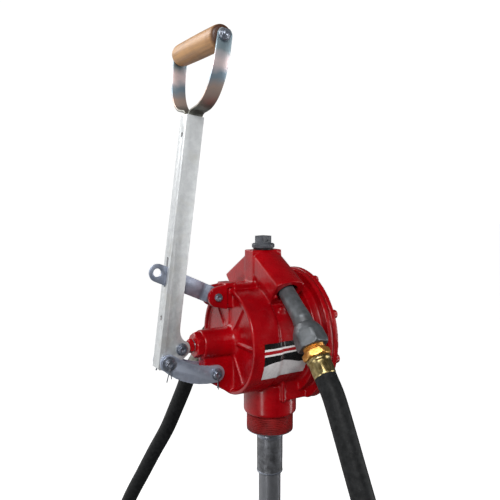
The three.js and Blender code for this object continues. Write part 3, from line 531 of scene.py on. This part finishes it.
def screw(root, crest, pitch, low, high, start, direction, segments, bore):
    """A helical thread between two distances, tapering away at both ends, round a bore."""
    first, second, along = axes_for(direction)
    rows = max(int((high - low) / pitch * 8), 8)
    points, faces = [], []
    for i in range(rows + 1):
        t = low + (high - low) * i / rows
        fade = min(1.0, (t - low) / pitch + 0.15, (high - t) / pitch + 0.15)
        for k in range(segments):
            turn = k / segments
            phase = (t / pitch - turn) % 1.0
            ridge = max(0.0, 1.0 - abs(2 * phase - 1) * 1.12) ** 0.8
            r = root + (crest - root) * ridge * fade
            a = 2 * math.pi * turn
            points.append(start + along * t + (first * math.cos(a) + second * math.sin(a)) * r)
    for i in range(rows):
        faces += ring_faces(i * segments, (i + 1) * segments, segments)
    bore_starts = []
    for t, base in ((low, 0), (high, rows * segments)):
        inner = len(points)
        bore_starts.append(inner)
        for k in range(segments):
            a = 2 * math.pi * k / segments
            points.append(start + along * t + (first * math.cos(a) + second * math.sin(a)) * bore)
        faces += ring_faces(base, inner, segments)
    return points, faces + ring_faces(*bore_starts, segments)


def give(obj, node):
    """The piece rides with its node's body and stands for the node, which is hidden."""
    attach(obj, BODY_OF[node])
    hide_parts(node)


def detail(obj, body, slot):
    """A piece too small for a node of its own, which rides with a body."""
    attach(obj, body)


# ---- Hose ----

HOSE_RADIUS = 12.5
HOSE_ROUTE = [Vector(p) for p in (
    (-10.7, 200.7, 16.8), (-10.7, 226.2, -8.7), (-12, 250, -44), (-16, 275, -84), (-22, 298, -124),
    (-34, 325, -170), (-45, 350, -214), (-64, 391, -290), (-76, 413, -360), (-85, 425, -445),
    (-89, 424, -536), (-87, 406, -630), (-80, 366, -720), (-70, 305, -799), (-59, 226, -855),
    (-48, 136, -886), (-38, 44, -893), (-29, -46, -876), (-21, -128, -836), (-15, -200, -775),
    (-12, -258, -695), (-10.7, -298, -602), (-10.7, -318, -502), (-10.7, -321, -402), (-10.7, -310, -310),
    (-10.7, -289, -226), (-10.7, -263, -160), (-10.7, -234, -105), (-10.7, -207, -54), (-10.7, -183, -9),
    (-10.7, -163, 29), (-10.7, -145.5, 60.2), (-10.7, -130.4, 78.9),
)]


def make_hose():
    line = catmull(HOSE_ROUTE, 14)
    points, faces = tube(line, HOSE_RADIUS, 32)
    hose = Shell().add(points, faces).object("hose_tube", HOSE, smooth=50)
    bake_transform(hose)
    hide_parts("hose")


make_hose()

# ---- Pump casting ----

CYLINDER_Z = 97.3
FLAT_Z = 22.0
BOLT_CIRCLE_R = 78.5
BOLT_ANGLES = (24, 64, 104, 150, 210, 256, 296, 336)
TOWER_X = -10.7
TOWER_TOP = 208.0
MOUTH_Y = 54.5
MOUTH_Z = 160.5
HOLDER_SLOPE = math.radians(40)
DISCHARGE_SLOPE = math.radians(45)
ARM_SLOPE = math.radians(30)
BODY_PIN = Vector((-83, 0, 62.2))
HANDLE_PIN = Vector((-144.2, 0, 83.2))
ROD_PIN = Vector((-126.9, 0, CYLINDER_Z))
LUG_PIN = Vector((-79.7, 0, 154.3))
PIN_R = 4.0
LUG_PIN_R = 3.1
ROD_R = 6.35
OUTLET_R = 13.35
SUCTION_R = 16.7
BORE_MARGIN = 0.3
BARREL_R = 65.6
FLANGE_R = 85.6
FLANGE_STEPS = 120
BUNG_PITCH = 2.309
PIPE_PITCH = 1.814


def on_cylinder(x):
    return Vector((x, 0, CYLINDER_Z))


def flange(x0, x1, radius):
    """A disc cut flat underneath, square to the cylinder."""
    drop = FLAT_Z - CYLINDER_Z
    if radius <= -drop:
        outline = arc(0, 0, radius, 0, 360 * (FLANGE_STEPS - 1) / FLANGE_STEPS, FLANGE_STEPS - 1)
    else:
        half = math.degrees(math.asin(-drop / radius))
        outline = arc(0, 0, radius, -half, 180 + half, FLANGE_STEPS)
    return prism(outline, on_cylinder(x0), on_cylinder(x1), Y, Z)


def rib(angle, low, high):
    """A box turned about the cylinder's axis."""
    points, faces = box(low, high)
    turn = Matrix.Translation(on_cylinder(0)) @ Matrix.Rotation(math.radians(angle), 4, "X")
    return [turn @ Vector(p) for p in points], faces


def slope_down(side, slope):
    """Direction that leaves the tower towards side (-1 or 1 along Y) at a slope below level."""
    return Vector((0, side * math.cos(slope), -math.sin(slope)))


def arm(side, mouth_slope):
    """One arm of the tower: crowned top, flat cheeks drawn in lower down, faced square to its mouth."""
    half, crown, cheek, drawn_in, foot, root = 19.6, 35.0, -24.0, -36.0, -78.0, 10.0
    spread = math.degrees(math.asin(half / crown))
    section = arc(0, -crown, crown, 90 - spread, 90 + spread, 10)
    section += [(-half, cheek), (-half + 3.4, drawn_in), (-half + 3.6, foot)]
    section += [(half - 3.6, foot), (half - 3.4, drawn_in), (half, cheek)]
    down = slope_down(side, ARM_SLOPE)
    normal = Vector((0, side * math.sin(ARM_SLOPE), math.cos(ARM_SLOPE)))
    out = slope_down(side, mouth_slope)
    mouth = Vector((TOWER_X, side * MOUTH_Y, MOUTH_Z))
    top = Vector((TOWER_X, side * 6, TOWER_TOP + 2.5))
    near, far = [], []
    for x, n in section:
        p = top + X * x + normal * n
        back = (root - abs(p.y)) / math.cos(ARM_SLOPE) if side * p.y < root else 0.0
        near.append(p + down * back)
        far.append(p + down * ((mouth - p).dot(out) / down.dot(out)))
    count = len(section)
    faces = [list(range(count))[::-1], list(range(count, 2 * count))]
    faces += [[i, (i + 1) % count, count + (i + 1) % count, count + i] for i in range(count)]
    return near + far, faces


def casting():
    shell = Shell()
    shell.add(*lathe([
        (0, -100), (16.4, -100), (17.5, -98.8), (18.2, -64), (19.4, -61.2), (22.5, -59.4), (26, -58.5),
        (58.8, -58.5), (59.6, -59.4), (60.2, -62.1), (61, -62.5), (64.6, -62.5), (BARREL_R, -61.6),
        (BARREL_R, -27.2), (65.2, -26.2), (63.3, -25.2), (63.3, 14), (66.3, 18), (66.3, 35), (0, 35),
    ], on_cylinder(0), X, 144))
    shell.add(*flange(18, 35, 75))
    shell.add(*flange(28.5, 35, FLANGE_R))
    shell.add(*lathe([(0, -1.2), (31, -1.2), (33, 0), (33.9, 2), (33.9, 40), (0, 40)], ORIGIN, Z, 96))
    shell.add(*box((-3, -38, FLAT_Z), (35, 38, 60)))
    shell.add(*box((-6, -39.4, FLAT_Z - 1), (-2.4, 39.4, 58)))
    shell.add(*box((TOWER_X - 21, -10.5, 128), (TOWER_X + 21, 10.5, TOWER_TOP)))
    shell.add(*box((-58, -12.3, 158), (-20, 12.3, 168.5)))
    shell.add(*arm(-1, HOLDER_SLOPE))
    shell.add(*arm(1, DISCHARGE_SLOPE))
    shell.add(*lathe([(0, -10), (5, -10), (5, 0.4), (4, 1.2), (0, 1.2)], Vector((-14, -50, 138.4)), -Y, 32))
    link_lug = [(-97.5, 92), (-97.5, 66)] + arc(-85.5, 62.2, 12, 180, 230, 10)
    link_lug += [(-62.5, 33.4), (-54, 33.4), (-54, 92)]
    shell.add(*prism(link_lug, Y * -8.6, Y * 8.6, X, Z))
    ear = [(-67, 168.6), (-80.5, 167)] + arc(LUG_PIN.x, LUG_PIN.z, 12.4, 95, 245, 16) + [(-67, 138.6)]
    for low, high in ((-10.8, -5.4), (5.4, 10.8)):
        shell.add(*prism(ear, Y * low, Y * high, X, Z))
    shell.add(*box((-69.6, -8.2, 139.5), (-57, 8.2, 168.4)))
    shell.add(*box((-69.6, -10.8, 164.5), (-56, 10.8, 170.4)))
    for angle in (-144, -90, -38, 0, 38, 90, 144):
        shell.add(*rib(angle, (-61.1, -1.7, 16), (-57, 1.7, 61.5)))
    return shell


def cutters():
    """Bores worked into the casting."""
    shell = Shell()

    def bore(start, end, radius, segments=72):
        way = end - start
        shell.add(*lathe([(0, 0), (radius, 0), (radius, way.length), (0, way.length)], start, way, segments))

    bore(on_cylinder(-50), on_cylinder(37), 56, 128)
    bore(on_cylinder(-103), on_cylinder(-77.5), 13)
    bore(on_cylinder(-78), on_cylinder(-49), ROD_R + BORE_MARGIN)
    bore(Z * -3, Z * 2, SUCTION_R + BORE_MARGIN)
    bore(BODY_PIN - Y * 20, BODY_PIN + Y * 20, PIN_R + BORE_MARGIN, 40)
    bore(LUG_PIN - Y * 20, LUG_PIN + Y * 20, LUG_PIN_R + BORE_MARGIN, 40)
    mouths = ((-1, HOLDER_SLOPE, 14, 30), (1, DISCHARGE_SLOPE, OUTLET_R + BORE_MARGIN, 15))
    for side, slope, radius, deep in mouths:
        mouth = Vector((TOWER_X, side * MOUTH_Y, MOUTH_Z))
        way = slope_down(side, slope)
        bore(mouth - way * deep, mouth + way * 40, radius)
    bore(Vector((TOWER_X, 0, TOWER_TOP - 10)), Vector((TOWER_X, 0, TOWER_TOP + 4)), 8.4)
    return shell


def remeshed(shell, name, material, voxel, passes, cut=None):
    """Bodies melted into one casting with soft inside corners, then bored."""
    obj = shell.object(name, material)
    melt = obj.modifiers.new("melt", "REMESH")
    melt.mode = "VOXEL"
    melt.voxel_size = voxel * MM
    melt.adaptivity = 0.0
    ease = obj.modifiers.new("ease", "SMOOTH")
    ease.factor = 0.5
    ease.iterations = passes
    baked(obj, 60)
    if cut is not None:
        tool = cut.object(name + "_bores", material)
        hole = obj.modifiers.new("bores", "BOOLEAN")
        hole.operation = "DIFFERENCE"
        hole.solver = "MANIFOLD"
        hole.object = tool
        baked(obj, 42)
        bpy.data.objects.remove(tool)
    return obj


CASTING_VOXEL = 0.95
body = remeshed(casting(), "body_casting", RED, CASTING_VOXEL, 5, cutters())
give(body, "pump_body")

bung = Shell().add(*screw(29.0, 30.1, BUNG_PITCH, -24.5, -0.6, ORIGIN, Z, 96, bore=17))
detail(bung.object("bung_thread", RED_THREAD, smooth=60), "pump", "red_paint")
rim = Shell().add(*lathe([
    (20, -25.0), (28.9, -25.0), (29.7, -24.6), (29.9, -24.1), (29.4, -23.8), (20, -23.8),
], ORIGIN, Z, 96))
detail(rim.object("bung_rim", PIN_STEEL), "pump", "red_paint")

# ---- Rear cover and bolts ----


def cover():
    shell = Shell()
    shell.add(*flange(36.6, 43, FLANGE_R))
    shell.add(*lathe([(0, 41), (66, 41), (66, 43), (64, 44.4), (58, 48), (40, 51.5), (14, 53), (13.4, 54.6),
                      (12.4, 55), (0, 55)], on_cylinder(0), X, 128))
    for angle in range(44, 404, 60):
        shell.add(*rib(angle, (42, -2, 12), (50.4, 2, 65)))
    return shell


give(remeshed(cover(), "cover_casting", RED, CASTING_VOXEL, 4), "rear_cover")

for number, angle in enumerate(BOLT_ANGLES, 1):
    a = math.radians(angle)
    seat = Vector((43.3, -BOLT_CIRCLE_R * math.sin(a), CYLINDER_Z + BOLT_CIRCLE_R * math.cos(a)))
    bolt = Shell()
    bolt.add(*lathe([(0, 0), (5.5, 0), (5.77, 0.5), (5.77, 4.6), (5.0, 5.6), (0, 5.8)], seat, X, 72,
                    hex_shape(10, 0.4 + number)))
    bolt.add(*lathe([(0, -13), (3, -13), (3, 1), (0, 1)], seat, X, 32))
    give(bolt.object(f"bolt_{number}", RED), f"cover_bolt_{number}")

# ---- Gland and piston rod ----

nut = Shell().add(*lathe([
    (6.65, -108.2), (13.2, -108.2), (14.9, -107.0), (16.2, -105.9), (16.2, -101.4), (15.2, -100.3),
    (12.6, -100.3), (12.6, -86.6), (6.65, -86.6),
], on_cylinder(0), X, 120, hex_shape(28, math.pi / 6)))
give(nut.object("gland_nut", RED, smooth=25), "packing_nut")

rod = Shell()
rod.add(*lathe([(0, -115.2), (4.2, -115.2), (4.2, -108.6), (6.0, -108.3), (ROD_R, -107.8), (ROD_R, -8.6),
                (0, -8.6)], on_cylinder(0), X, 64))
rod.add(*lathe([(0, -9.2), (4.2, -9.2), (4.2, 27), (0, 27)], on_cylinder(0), X, 40))
give(rod.object("polished_rod", STEEL), "piston_rod")

jam = Shell().add(*lathe([
    (4.5, -115.3), (6.6, -115.3), (8.66, -114.2), (8.66, -110.1), (6.6, -109.0), (4.5, -109.0),
], on_cylinder(0), X, 96, hex_shape(15, math.pi / 6)))
give(jam.object("jam_nut", RED, smooth=25), "rod_nut")

# ---- Spout, adapter and ferrules ----

SPOUT_BEND = math.radians(11)
SPOUT_STRAIGHT = 40.0
HOLDER_MOUTH = Vector((TOWER_X, -MOUTH_Y, MOUTH_Z))
SPOUT_WAY = slope_down(-1, HOLDER_SLOPE)
KNEE = HOLDER_MOUTH + SPOUT_WAY * SPOUT_STRAIGHT
SOCKET_WAY = slope_down(-1, HOLDER_SLOPE + SPOUT_BEND)
DISCHARGE_MOUTH = Vector((TOWER_X, MOUTH_Y, MOUTH_Z))
DISCHARGE_WAY = slope_down(1, DISCHARGE_SLOPE)
SOCKET_TURN = 0.778
ADAPTER_TURN = 0.597
FLUTES = 9


def spout():
    shell = Shell()
    shell.add(*lathe([
        (0, -24), (8.6, -24), (9.6, -23), (10.1, -10), (10.2, 8), (10.5, 26), (11.3, 40), (0, 41),
    ], HOLDER_MOUTH, SPOUT_WAY, 72))
    ball = [(11.4 * math.sin(math.pi * i / 16), -11.4 * math.cos(math.pi * i / 16)) for i in range(17)]
    shell.add(*lathe(ball, KNEE, SOCKET_WAY, 64))
    shell.add(*lathe([(0, -1), (11.3, -1), (11.4, 8.6), (0, 8.6)], KNEE, SOCKET_WAY, 72))
    skirt = [(0, 7.6), (12.4, 8.0), (14.2, 11), (16.6, 15), (18.2, 19), (19.4, 32), (18.7, 35), (17.4, 36.6),
             (0, 36.6)]
    shell.add(*lathe(skirt, KNEE, SOCKET_WAY, 120, hex_shape(33.8, SOCKET_TURN)))
    return shell


def spout_way():
    shell = Shell()
    shell.add(*lathe([(0, -25), (7.4, -25), (7.4, 41), (0, 41)], HOLDER_MOUTH, SPOUT_WAY, 48))
    shell.add(*lathe([(0, 0), (7.4, 0), (7.4, 24), (12.7, 24), (12.7, 39), (0, 39)], KNEE, SOCKET_WAY, 64))
    return shell


spout_piece = remeshed(spout(), "spout_casting", GREY_CAST, 0.5, 2, spout_way())
give(spout_piece, "nozzle_spout")
band = Shell().add(*lathe([(10.6, 2.6), (11.75, 2.8), (11.75, 7.6), (10.6, 7.8)], KNEE, SOCKET_WAY, 72))
detail(band.object("swivel_band", DARK_CAST), "spout", "grey_paint")

adapter = Shell()
adapter.add(*screw(11.6, 12.45, PIPE_PITCH, 25.4, 41.6, KNEE, SOCKET_WAY, 72, bore=8))
adapter.add(*lathe([
    (8, 41.2), (13.2, 41.2), (15.4, 42.2), (16.45, 43.2), (16.45, 47.8), (15.2, 49.0), (14.0, 49.7), (8, 49.7),
], KNEE, SOCKET_WAY, 120, hex_shape(28.5, ADAPTER_TURN)))
give(adapter.object("brass_adapter", BRASS, smooth=40), "nozzle_adapter")


def ferrule(name, node, material, start, way, length, collar, sleeve):
    """Hose ferrule with a plain collar and a fluted, crimped sleeve."""
    first_flute, last_flute = 7, length - 2

    def fluted(angle, radius, distance):
        if radius < sleeve - 0.2 or not first_flute < distance < last_flute:
            return radius
        ease = min(1.0, (distance - first_flute) / 3, (last_flute - distance) / 1.5)
        return radius - 0.55 * ease * (0.5 + 0.5 * math.cos(FLUTES * angle))

    rows = [(sleeve + 0.35 * math.sin(math.pi * i / 12), 6.4 + (length - 8.4) * i / 12) for i in range(13)]
    profile = [(9.3, 0.3), (collar - 0.9, 0.3), (collar, 1.2), (collar, 4.2), (collar - 0.5, 5.0)]
    profile += rows + [(sleeve, length - 1.0), (sleeve - 0.5, length), (9.3, length)]
    piece = Shell().add(*lathe(profile, start, way, 108, fluted))
    give(piece.object(name, material, smooth=45), node)


ferrule("spout_ferrule", "nozzle_ferrule", OLIVE_BRASS, KNEE + SOCKET_WAY * 49.9, SOCKET_WAY, 22, 14.0, 12.9)
ferrule("outlet_ferrule", "discharge_ferrule", AGED_BRASS, DISCHARGE_MOUTH + DISCHARGE_WAY * 160,
        DISCHARGE_WAY, 45, 15.4, 13.3)

pipe = Shell()
pipe.add(*lathe([
    (10.4, -14), (12.2, -14), (12.8, -2), (OUTLET_R, 2), (OUTLET_R, 120), (12.8, 124), (12.4, 138), (10.4, 138),
], DISCHARGE_MOUTH, DISCHARGE_WAY, 64))
give(pipe.object("outlet_nipple", DARK_STEEL), "discharge_nipple")
for low, high in ((0.5, 15), (112, 125.5)):
    ring = Shell().add(*screw(12.7, 13.3, PIPE_PITCH, low, high, DISCHARGE_MOUTH, DISCHARGE_WAY, 64, bore=11))
    detail(ring.object(f"outlet_thread_{int(high)}", DARK_STEEL, smooth=50), "pump", "dark_steel")
swivel = Shell()
swivel.add(*lathe([
    (13.7, 126), (16.4, 126), (19.6, 127.6), (19.6, 138.4), (19.6, 150.4), (16.4, 152), (15.4, 152.4),
    (14.6, 152.6), (14.6, 159.7), (9.2, 159.7), (9.2, 138.4), (13.7, 138.4),
], DISCHARGE_MOUTH, DISCHARGE_WAY, 120, hex_shape(34, 0.3)))
give(swivel.object("outlet_swivel", AGED_BRASS, smooth=25), "discharge_swivel")

# ---- Suction tube ----

nipple = Shell()
nipple.add(*lathe([(14.6, -82), (15.9, -82), (16.6, -81.2), (16.6, -66), (SUCTION_R, -64), (SUCTION_R, -2.6),
                   (14.6, -2.6)], ORIGIN, Z, 80))
give(nipple.object("suction_nipple", DARK_STEEL), "pipe_nipple")
for name, low, high in (("suction_worn_top", -35.5, -30.5), ("suction_worn_end", -82.2, -79.2)):
    worn = Shell().add(*lathe([
        (16.0, low), (16.7, low + 0.4), (16.95, low + 1.0), (16.95, high - 0.6), (16.0, high),
    ], ORIGIN, Z, 72))
    detail(worn.object(name, PIN_STEEL), "pump", "dark_steel")

# ---- Label: plain bands without lettering, wrapped round the cylinder ----

LABEL_LEFT = -48.5
LABEL_RIGHT = 26.0
LABEL_SKEW = 2.2
LABEL_TOP = 6.6
LABEL_TURN = 41
BARREL_STEP_START = -26.6
BARREL_STEP_LENGTH = 8.0
BARREL_STEP_DROP = 2.3
BLACK, WHITE, SILVER, STRIPE = range(4)


def label():
    """Bands by angle above the middle of the spout side, from top to bottom, each between two edge curves."""
    columns, rows = 60, 6
    edges = [
        lambda s: LABEL_TOP,
        lambda s: 0.9 + 0.6 * s,
        lambda s: -1.3 + 1.0 * s,
        lambda s: -4.8 + 1.5 * s,
        lambda s: -6.9 + 1.9 * s,
        lambda s: -17.2 + 4.6 * math.sin(math.pi * min(1.0, s * 1.5)) * (1 - 0.3 * s) - 1.2 * s,
        lambda s: -34.6 + 1.0 * s,
    ]
    kinds = (BLACK, WHITE, STRIPE, WHITE, BLACK, SILVER)
    shell = Shell()
    for kind, upper, lower in zip(kinds, edges, edges[1:]):
        points, faces = [], []
        for lift in (0.12, 0.38):
            for i in range(columns + 1):
                s = i / columns
                for k in range(rows + 1):
                    angle = math.radians(upper(s) + (lower(s) - upper(s)) * k / rows)
                    x = LABEL_LEFT + (LABEL_RIGHT - LABEL_LEFT) * s
                    x += LABEL_SKEW * (LABEL_TOP - math.degrees(angle)) / LABEL_TURN
                    step = min(1.0, max(0.0, (x - BARREL_STEP_START) / BARREL_STEP_LENGTH))
                    r = BARREL_R - BARREL_STEP_DROP * step * step * (3 - 2 * step) + lift
                    points.append(on_cylinder(x) + Vector((0, -r * math.cos(angle), r * math.sin(angle))))
        sheet = (columns + 1) * (rows + 1)

        def at(layer, i, k):
            return layer * sheet + i * (rows + 1) + k

        for i in range(columns):
            for k in range(rows):
                quad = [(i, k), (i + 1, k), (i + 1, k + 1), (i, k + 1)]
                faces.append([at(1, *q) for q in quad])
                faces.append([at(0, *q) for q in quad[::-1]])
        border = [(i, 0) for i in range(columns)] + [(columns, k) for k in range(rows)]
        border += [(i, rows) for i in range(columns, 0, -1)] + [(0, k) for k in range(rows, 0, -1)]
        for a, b in zip(border, border[1:] + border[:1]):
            faces.append([at(0, *a), at(0, *b), at(1, *b), at(1, *a)])
        shell.add(points, faces, kind)
    return shell


label_piece = label().object("band_label", LABEL_BLACK, LABEL_WHITE, LABEL_SILVER, LABEL_RED, smooth=30)
detail(label_piece, "pump", "charcoal")

# ---- Grip ----

LEAN = math.radians(7.67)
HANDLE_FOOT = Vector((-156.5, 0, 74.5))
HANDLE_FRAME = Matrix.Translation(HANDLE_FOOT) @ Matrix.Rotation(LEAN, 4, "Y")
GRIP_CENTRE = HANDLE_FRAME @ Vector((10.3, 0, 376))


def grip():
    half = 55.5
    outer = [(3.8, -half), (9.6, -half), (11.6, -half + 1.0), (12.7, -half + 2.8), (13.15, -half + 6)]
    outer += [(13.2 + 0.4 * math.cos(math.pi * y / 110), y) for y in range(-45, 46, 5)]
    outer += [(r, -y) for r, y in outer[4::-1]]
    return Shell().add(*lathe(outer, GRIP_CENTRE, Y, 80))


give(grip().object("wooden_grip", WOOD), "grip")

# ---- The remaining parts keep the frame's shape, with softened edges ----


def refine(node, material=None, edge=0.0):
    """A part's own solid, its flat faces made whole and its corners eased."""
    mesh = frame["nodes"][node].data.copy()
    made = bmesh.new()
    made.from_mesh(mesh)
    bmesh.ops.remove_doubles(made, verts=made.verts, dist=2e-6)
    bmesh.ops.dissolve_limit(made, angle_limit=math.radians(0.6), verts=made.verts, edges=made.edges)
    made.to_mesh(mesh)
    made.free()
    obj = place_mesh(mesh, f"{node}_part", [material or BY_SLOT[SLOT_OF[node]]], 38)
    if edge:
        edged(obj, edge, 38)
    give(obj, node)


refine("handle_channel", edge=0.5)

STRAP_LINE = [Vector((0, y, h)) for y, h in (
    (-4.9, 252), (-4.9, 276), (-4.9, 293.5), (-6.2, 298.6), (-10.5, 301.2), (-17, 302.2), (-28, 304.8),
    (-39.5, 312), (-49, 324), (-54.6, 338), (-57.4, 354), (-58, 372), (-58, 390),
)]
STRAP_FRONT, STRAP_BACK = 2.8, 20.6
STRAP_END_H = 376.0
STRAP_HALF_SHEET = 1.25


def strap(side):
    """Flat band bent along its line, with a round upper end. side is 1 for the near one, -1 for the far."""
    middle = (STRAP_FRONT + STRAP_BACK) / 2
    half = (STRAP_BACK - STRAP_FRONT) / 2
    line = [p for p in catmull(STRAP_LINE, 14) if p.z < STRAP_END_H + half - 0.15]
    points, faces = [], []
    for i, p in enumerate(line):
        along = (line[min(i + 1, len(line) - 1)] - line[max(i - 1, 0)]).normalized()
        out = Vector((0, -along.z, along.y)) * STRAP_HALF_SHEET
        rise = max(0.0, p.z - STRAP_END_H)
        reach = math.sqrt(half ** 2 - rise ** 2)
        for x, face in ((middle - reach, 1), (middle + reach, 1), (middle + reach, -1), (middle - reach, -1)):
            q = p + out * face + X * x
            points.append(HANDLE_FRAME @ Vector((q.x, q.y * side, q.z)))
    for i in range(len(line) - 1):
        faces += ring_faces(4 * i, 4 * i + 4, 4)
    faces += [[0, 1, 2, 3], [len(points) - 4 + k for k in range(4)]]
    return Shell().add(points, faces)


for node, side in (("strap_near", 1), ("strap_far", -1)):
    bow = strap(side).object(f"{node}_part", STRAP_STEEL, smooth=30)
    give(edged(bow, 0.4, 30), node)
refine("grip_nut", edge=0.4)
refine("link_near", edge=0.5)
refine("link_far", edge=0.5)
refine("lock_bar", HASP_ZINC, edge=0.4)
refine("rod_eye", edge=0.5)
refine("vent_cap", edge=0.5)

spring = place_mesh(frame["nodes"]["vent_spring"].data.copy(), "vent_coil", [STEEL])
give(spring, "vent_spring")
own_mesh(spring)


def rivet(name, node, centre, head_y, shank, head_r, head_depth, far_y):
    """A clevis pin along Y: flat-topped head with a turned groove and a dimple, and a chamfered far end."""
    piece = Shell().add(*lathe([
        (0, 0.8), (head_r * 0.24, 0.7), (head_r * 0.36, 0.15), (head_r * 0.62, 0.05), (head_r * 0.68, 0.35),
        (head_r * 0.76, 0.35), (head_r * 0.86, 0.3), (head_r * 0.97, 0.9), (head_r, 1.5),
        (head_r, head_depth), (shank, head_depth + 0.02),
        (shank, far_y - head_y - 0.8), (shank - 0.8, far_y - head_y), (0, far_y - head_y),
    ], Vector((centre.x, head_y, centre.z)), Y, 64))
    give(piece.object(name, PIN_STEEL, smooth=40), node)


rivet("grip_rivet", "grip_bolt", GRIP_CENTRE, -63.4, 3.5, 6.7, 3.4, 62.4)
rivet("rod_clevis", "rod_pin", ROD_PIN, -13.9, PIN_R, 5.8, 3.0, 16.9)
rivet("handle_clevis", "handle_pin", HANDLE_PIN, -17.4, PIN_R, 5.8, 3.0, 20.4)
rivet("body_clevis", "body_pin", BODY_PIN, -17.4, PIN_R, 5.8, 3.0, 20.4)
rivet("lock_rivet", "lock_pin", LUG_PIN, -13.8, LUG_PIN_R, 5.0, 2.6, 13.0)
for pin in ("rod_pin", "handle_pin", "body_pin"):
    refine(f"{pin}_washer", PIN_STEEL, edge=0.25)
    refine(f"{pin}_split", WIRE_STEEL)
COTTERS = (
    ("handle_cotter", "handle", HANDLE_PIN, ((-4.5, -20.5), (1.5, -17.5))),
    ("body_cotter", "pump", BODY_PIN, ((0.6, -18.5), (-0.9, -16.5))),
)
for name, body_name, pin, legs in COTTERS:
    wires = Shell()
    for dx, dz in legs:
        leg = ((dx * 0.2, -4.6), (dx * 0.3, -9.5), (dx, dz))
        wires.add(*tube([pin + Vector((x, -15.7, z)) for x, z in leg], 0.6, 12))
    detail(wires.object(name, WIRE_STEEL, smooth=50), body_name, "dark_steel")
for node in ("tube_upper", "tube_lower", "tube_collar", "foot_strainer"):
    refine(node)



def knurled(angle, radius, distance):
    """Thirty shallow teeth on the widest part of the cap's ring."""
    return radius - (0.35 if radius > 14 else 0) * (0.5 + 0.5 * math.cos(30 * angle))


knurl = Shell().add(*lathe([(13.2, 2.6), (14.0, 2.8), (14.3, 3.4), (14.3, 6.4), (13.9, 7.0), (13.2, 7.2)],
                           Vector((TOWER_X, 0, TOWER_TOP)), Z, 180, knurled))
detail(knurl.object("vent_knurl", CHARCOAL, smooth=30), "pump", "charcoal")

for node, obj in frame["nodes"].items():
    obj.data.materials.clear()
    obj.data.materials.append(RED_THREAD if node == "rear_gasket" else BY_SLOT[SLOT_OF[node]])

# ---- Floor and light ----

FLOOR_Z = -0.93


def make_floor():
    n = Nodes("pale_floor")
    tone = n.mix(n.spread(n.noise(900, 3), 0.3, 0.7), (0.92, 0.92, 0.92, 1), (0.95, 0.95, 0.95, 1))
    material = n.finish(tone, 0.8, specular=0.1)
    n.shader.inputs["Emission Color"].default_value = (1, 1, 1, 1)
    n.shader.inputs["Emission Strength"].default_value = 0.88
    points, faces = lathe([(0, -0.05), (30, -0.05), (30, 0), (0, 0)], ORIGIN, Z, 96)
    mesh = bpy.data.meshes.new("floor")
    mesh.from_pydata([p + Z * FLOOR_Z for p in points], [], faces)
    floor = place_mesh(mesh, "floor", [material])
    floor.visible_glossy = False
    floor.visible_diffuse = False


def area_light(name, place, target, size, power):
    data = bpy.data.lights.new(name, "AREA")
    data.shape = "RECTANGLE"
    data.size, data.size_y = size
    data.energy = power
    light = bpy.data.objects.new(name, data)
    light.location = place
    light.rotation_euler = (Vector(target) - Vector(place)).to_track_quat("-Z", "Y").to_euler()
    SCENE.collection.objects.link(light)


def make_world():
    """White studio: bright behind and beside the pump, darker on the viewer's side, with a white backdrop."""
    world = bpy.data.worlds.new("studio")
    world.use_nodes = True
    SCENE.world = world
    tree = world.node_tree
    tree.nodes.clear()
    out = tree.nodes.new("ShaderNodeOutputWorld")
    place = tree.nodes.new("ShaderNodeTexCoord")
    parts = tree.nodes.new("ShaderNodeVectorMath")
    parts.operation = "DOT_PRODUCT"
    parts.inputs[1].default_value = (-0.55, 0.82, -0.1)
    tree.links.new(place.outputs["Generated"], parts.inputs[0])
    ramp = tree.nodes.new("ShaderNodeMapRange")
    for name, number in (("From Min", 0.3), ("From Max", 0.9), ("To Min", 0.05), ("To Max", 0.85)):
        ramp.inputs[name].default_value = number
    tree.links.new(parts.outputs["Value"], ramp.inputs["Value"])
    soft = tree.nodes.new("ShaderNodeBackground")
    soft.inputs["Color"].default_value = (1, 1, 1, 1)
    tree.links.new(ramp.outputs["Result"], soft.inputs["Strength"])
    plain = tree.nodes.new("ShaderNodeBackground")
    plain.inputs["Color"].default_value = (1, 1, 1, 1)
    plain.inputs["Strength"].default_value = 1.05
    path = tree.nodes.new("ShaderNodeLightPath")
    mix = tree.nodes.new("ShaderNodeMixShader")
    tree.links.new(path.outputs["Is Camera Ray"], mix.inputs[0])
    tree.links.new(soft.outputs[0], mix.inputs[1])
    tree.links.new(plain.outputs[0], mix.inputs[2])
    tree.links.new(mix.outputs[0], out.inputs["Surface"])


make_floor()
make_world()
area_light("key", (-1.15, -1.4, 1.2), (0, 0, 0.1), (0.8, 0.9), 26)
area_light("rim", (-1.0, 1.3, 1.2), (0, 0, 0.1), (1.2, 0.8), 14)
area_light("fill", (-0.5, -1.9, 1.5), (0, 0, 0.1), (0.7, 0.6), 12)
area_light("low_left", (-1.6, -0.7, -0.3), (0, 0.1, -0.1), (0.3, 1.0), 6)
area_light("low_right", (1.6, -0.5, -0.25), (0, 0, -0.1), (0.3, 1.0), 5)
area_light("edge", (1.5, -1.3, 0.3), (0, 0, 0.1), (0.4, 1.0), 9)
SCENE.view_settings.view_transform = "Standard"
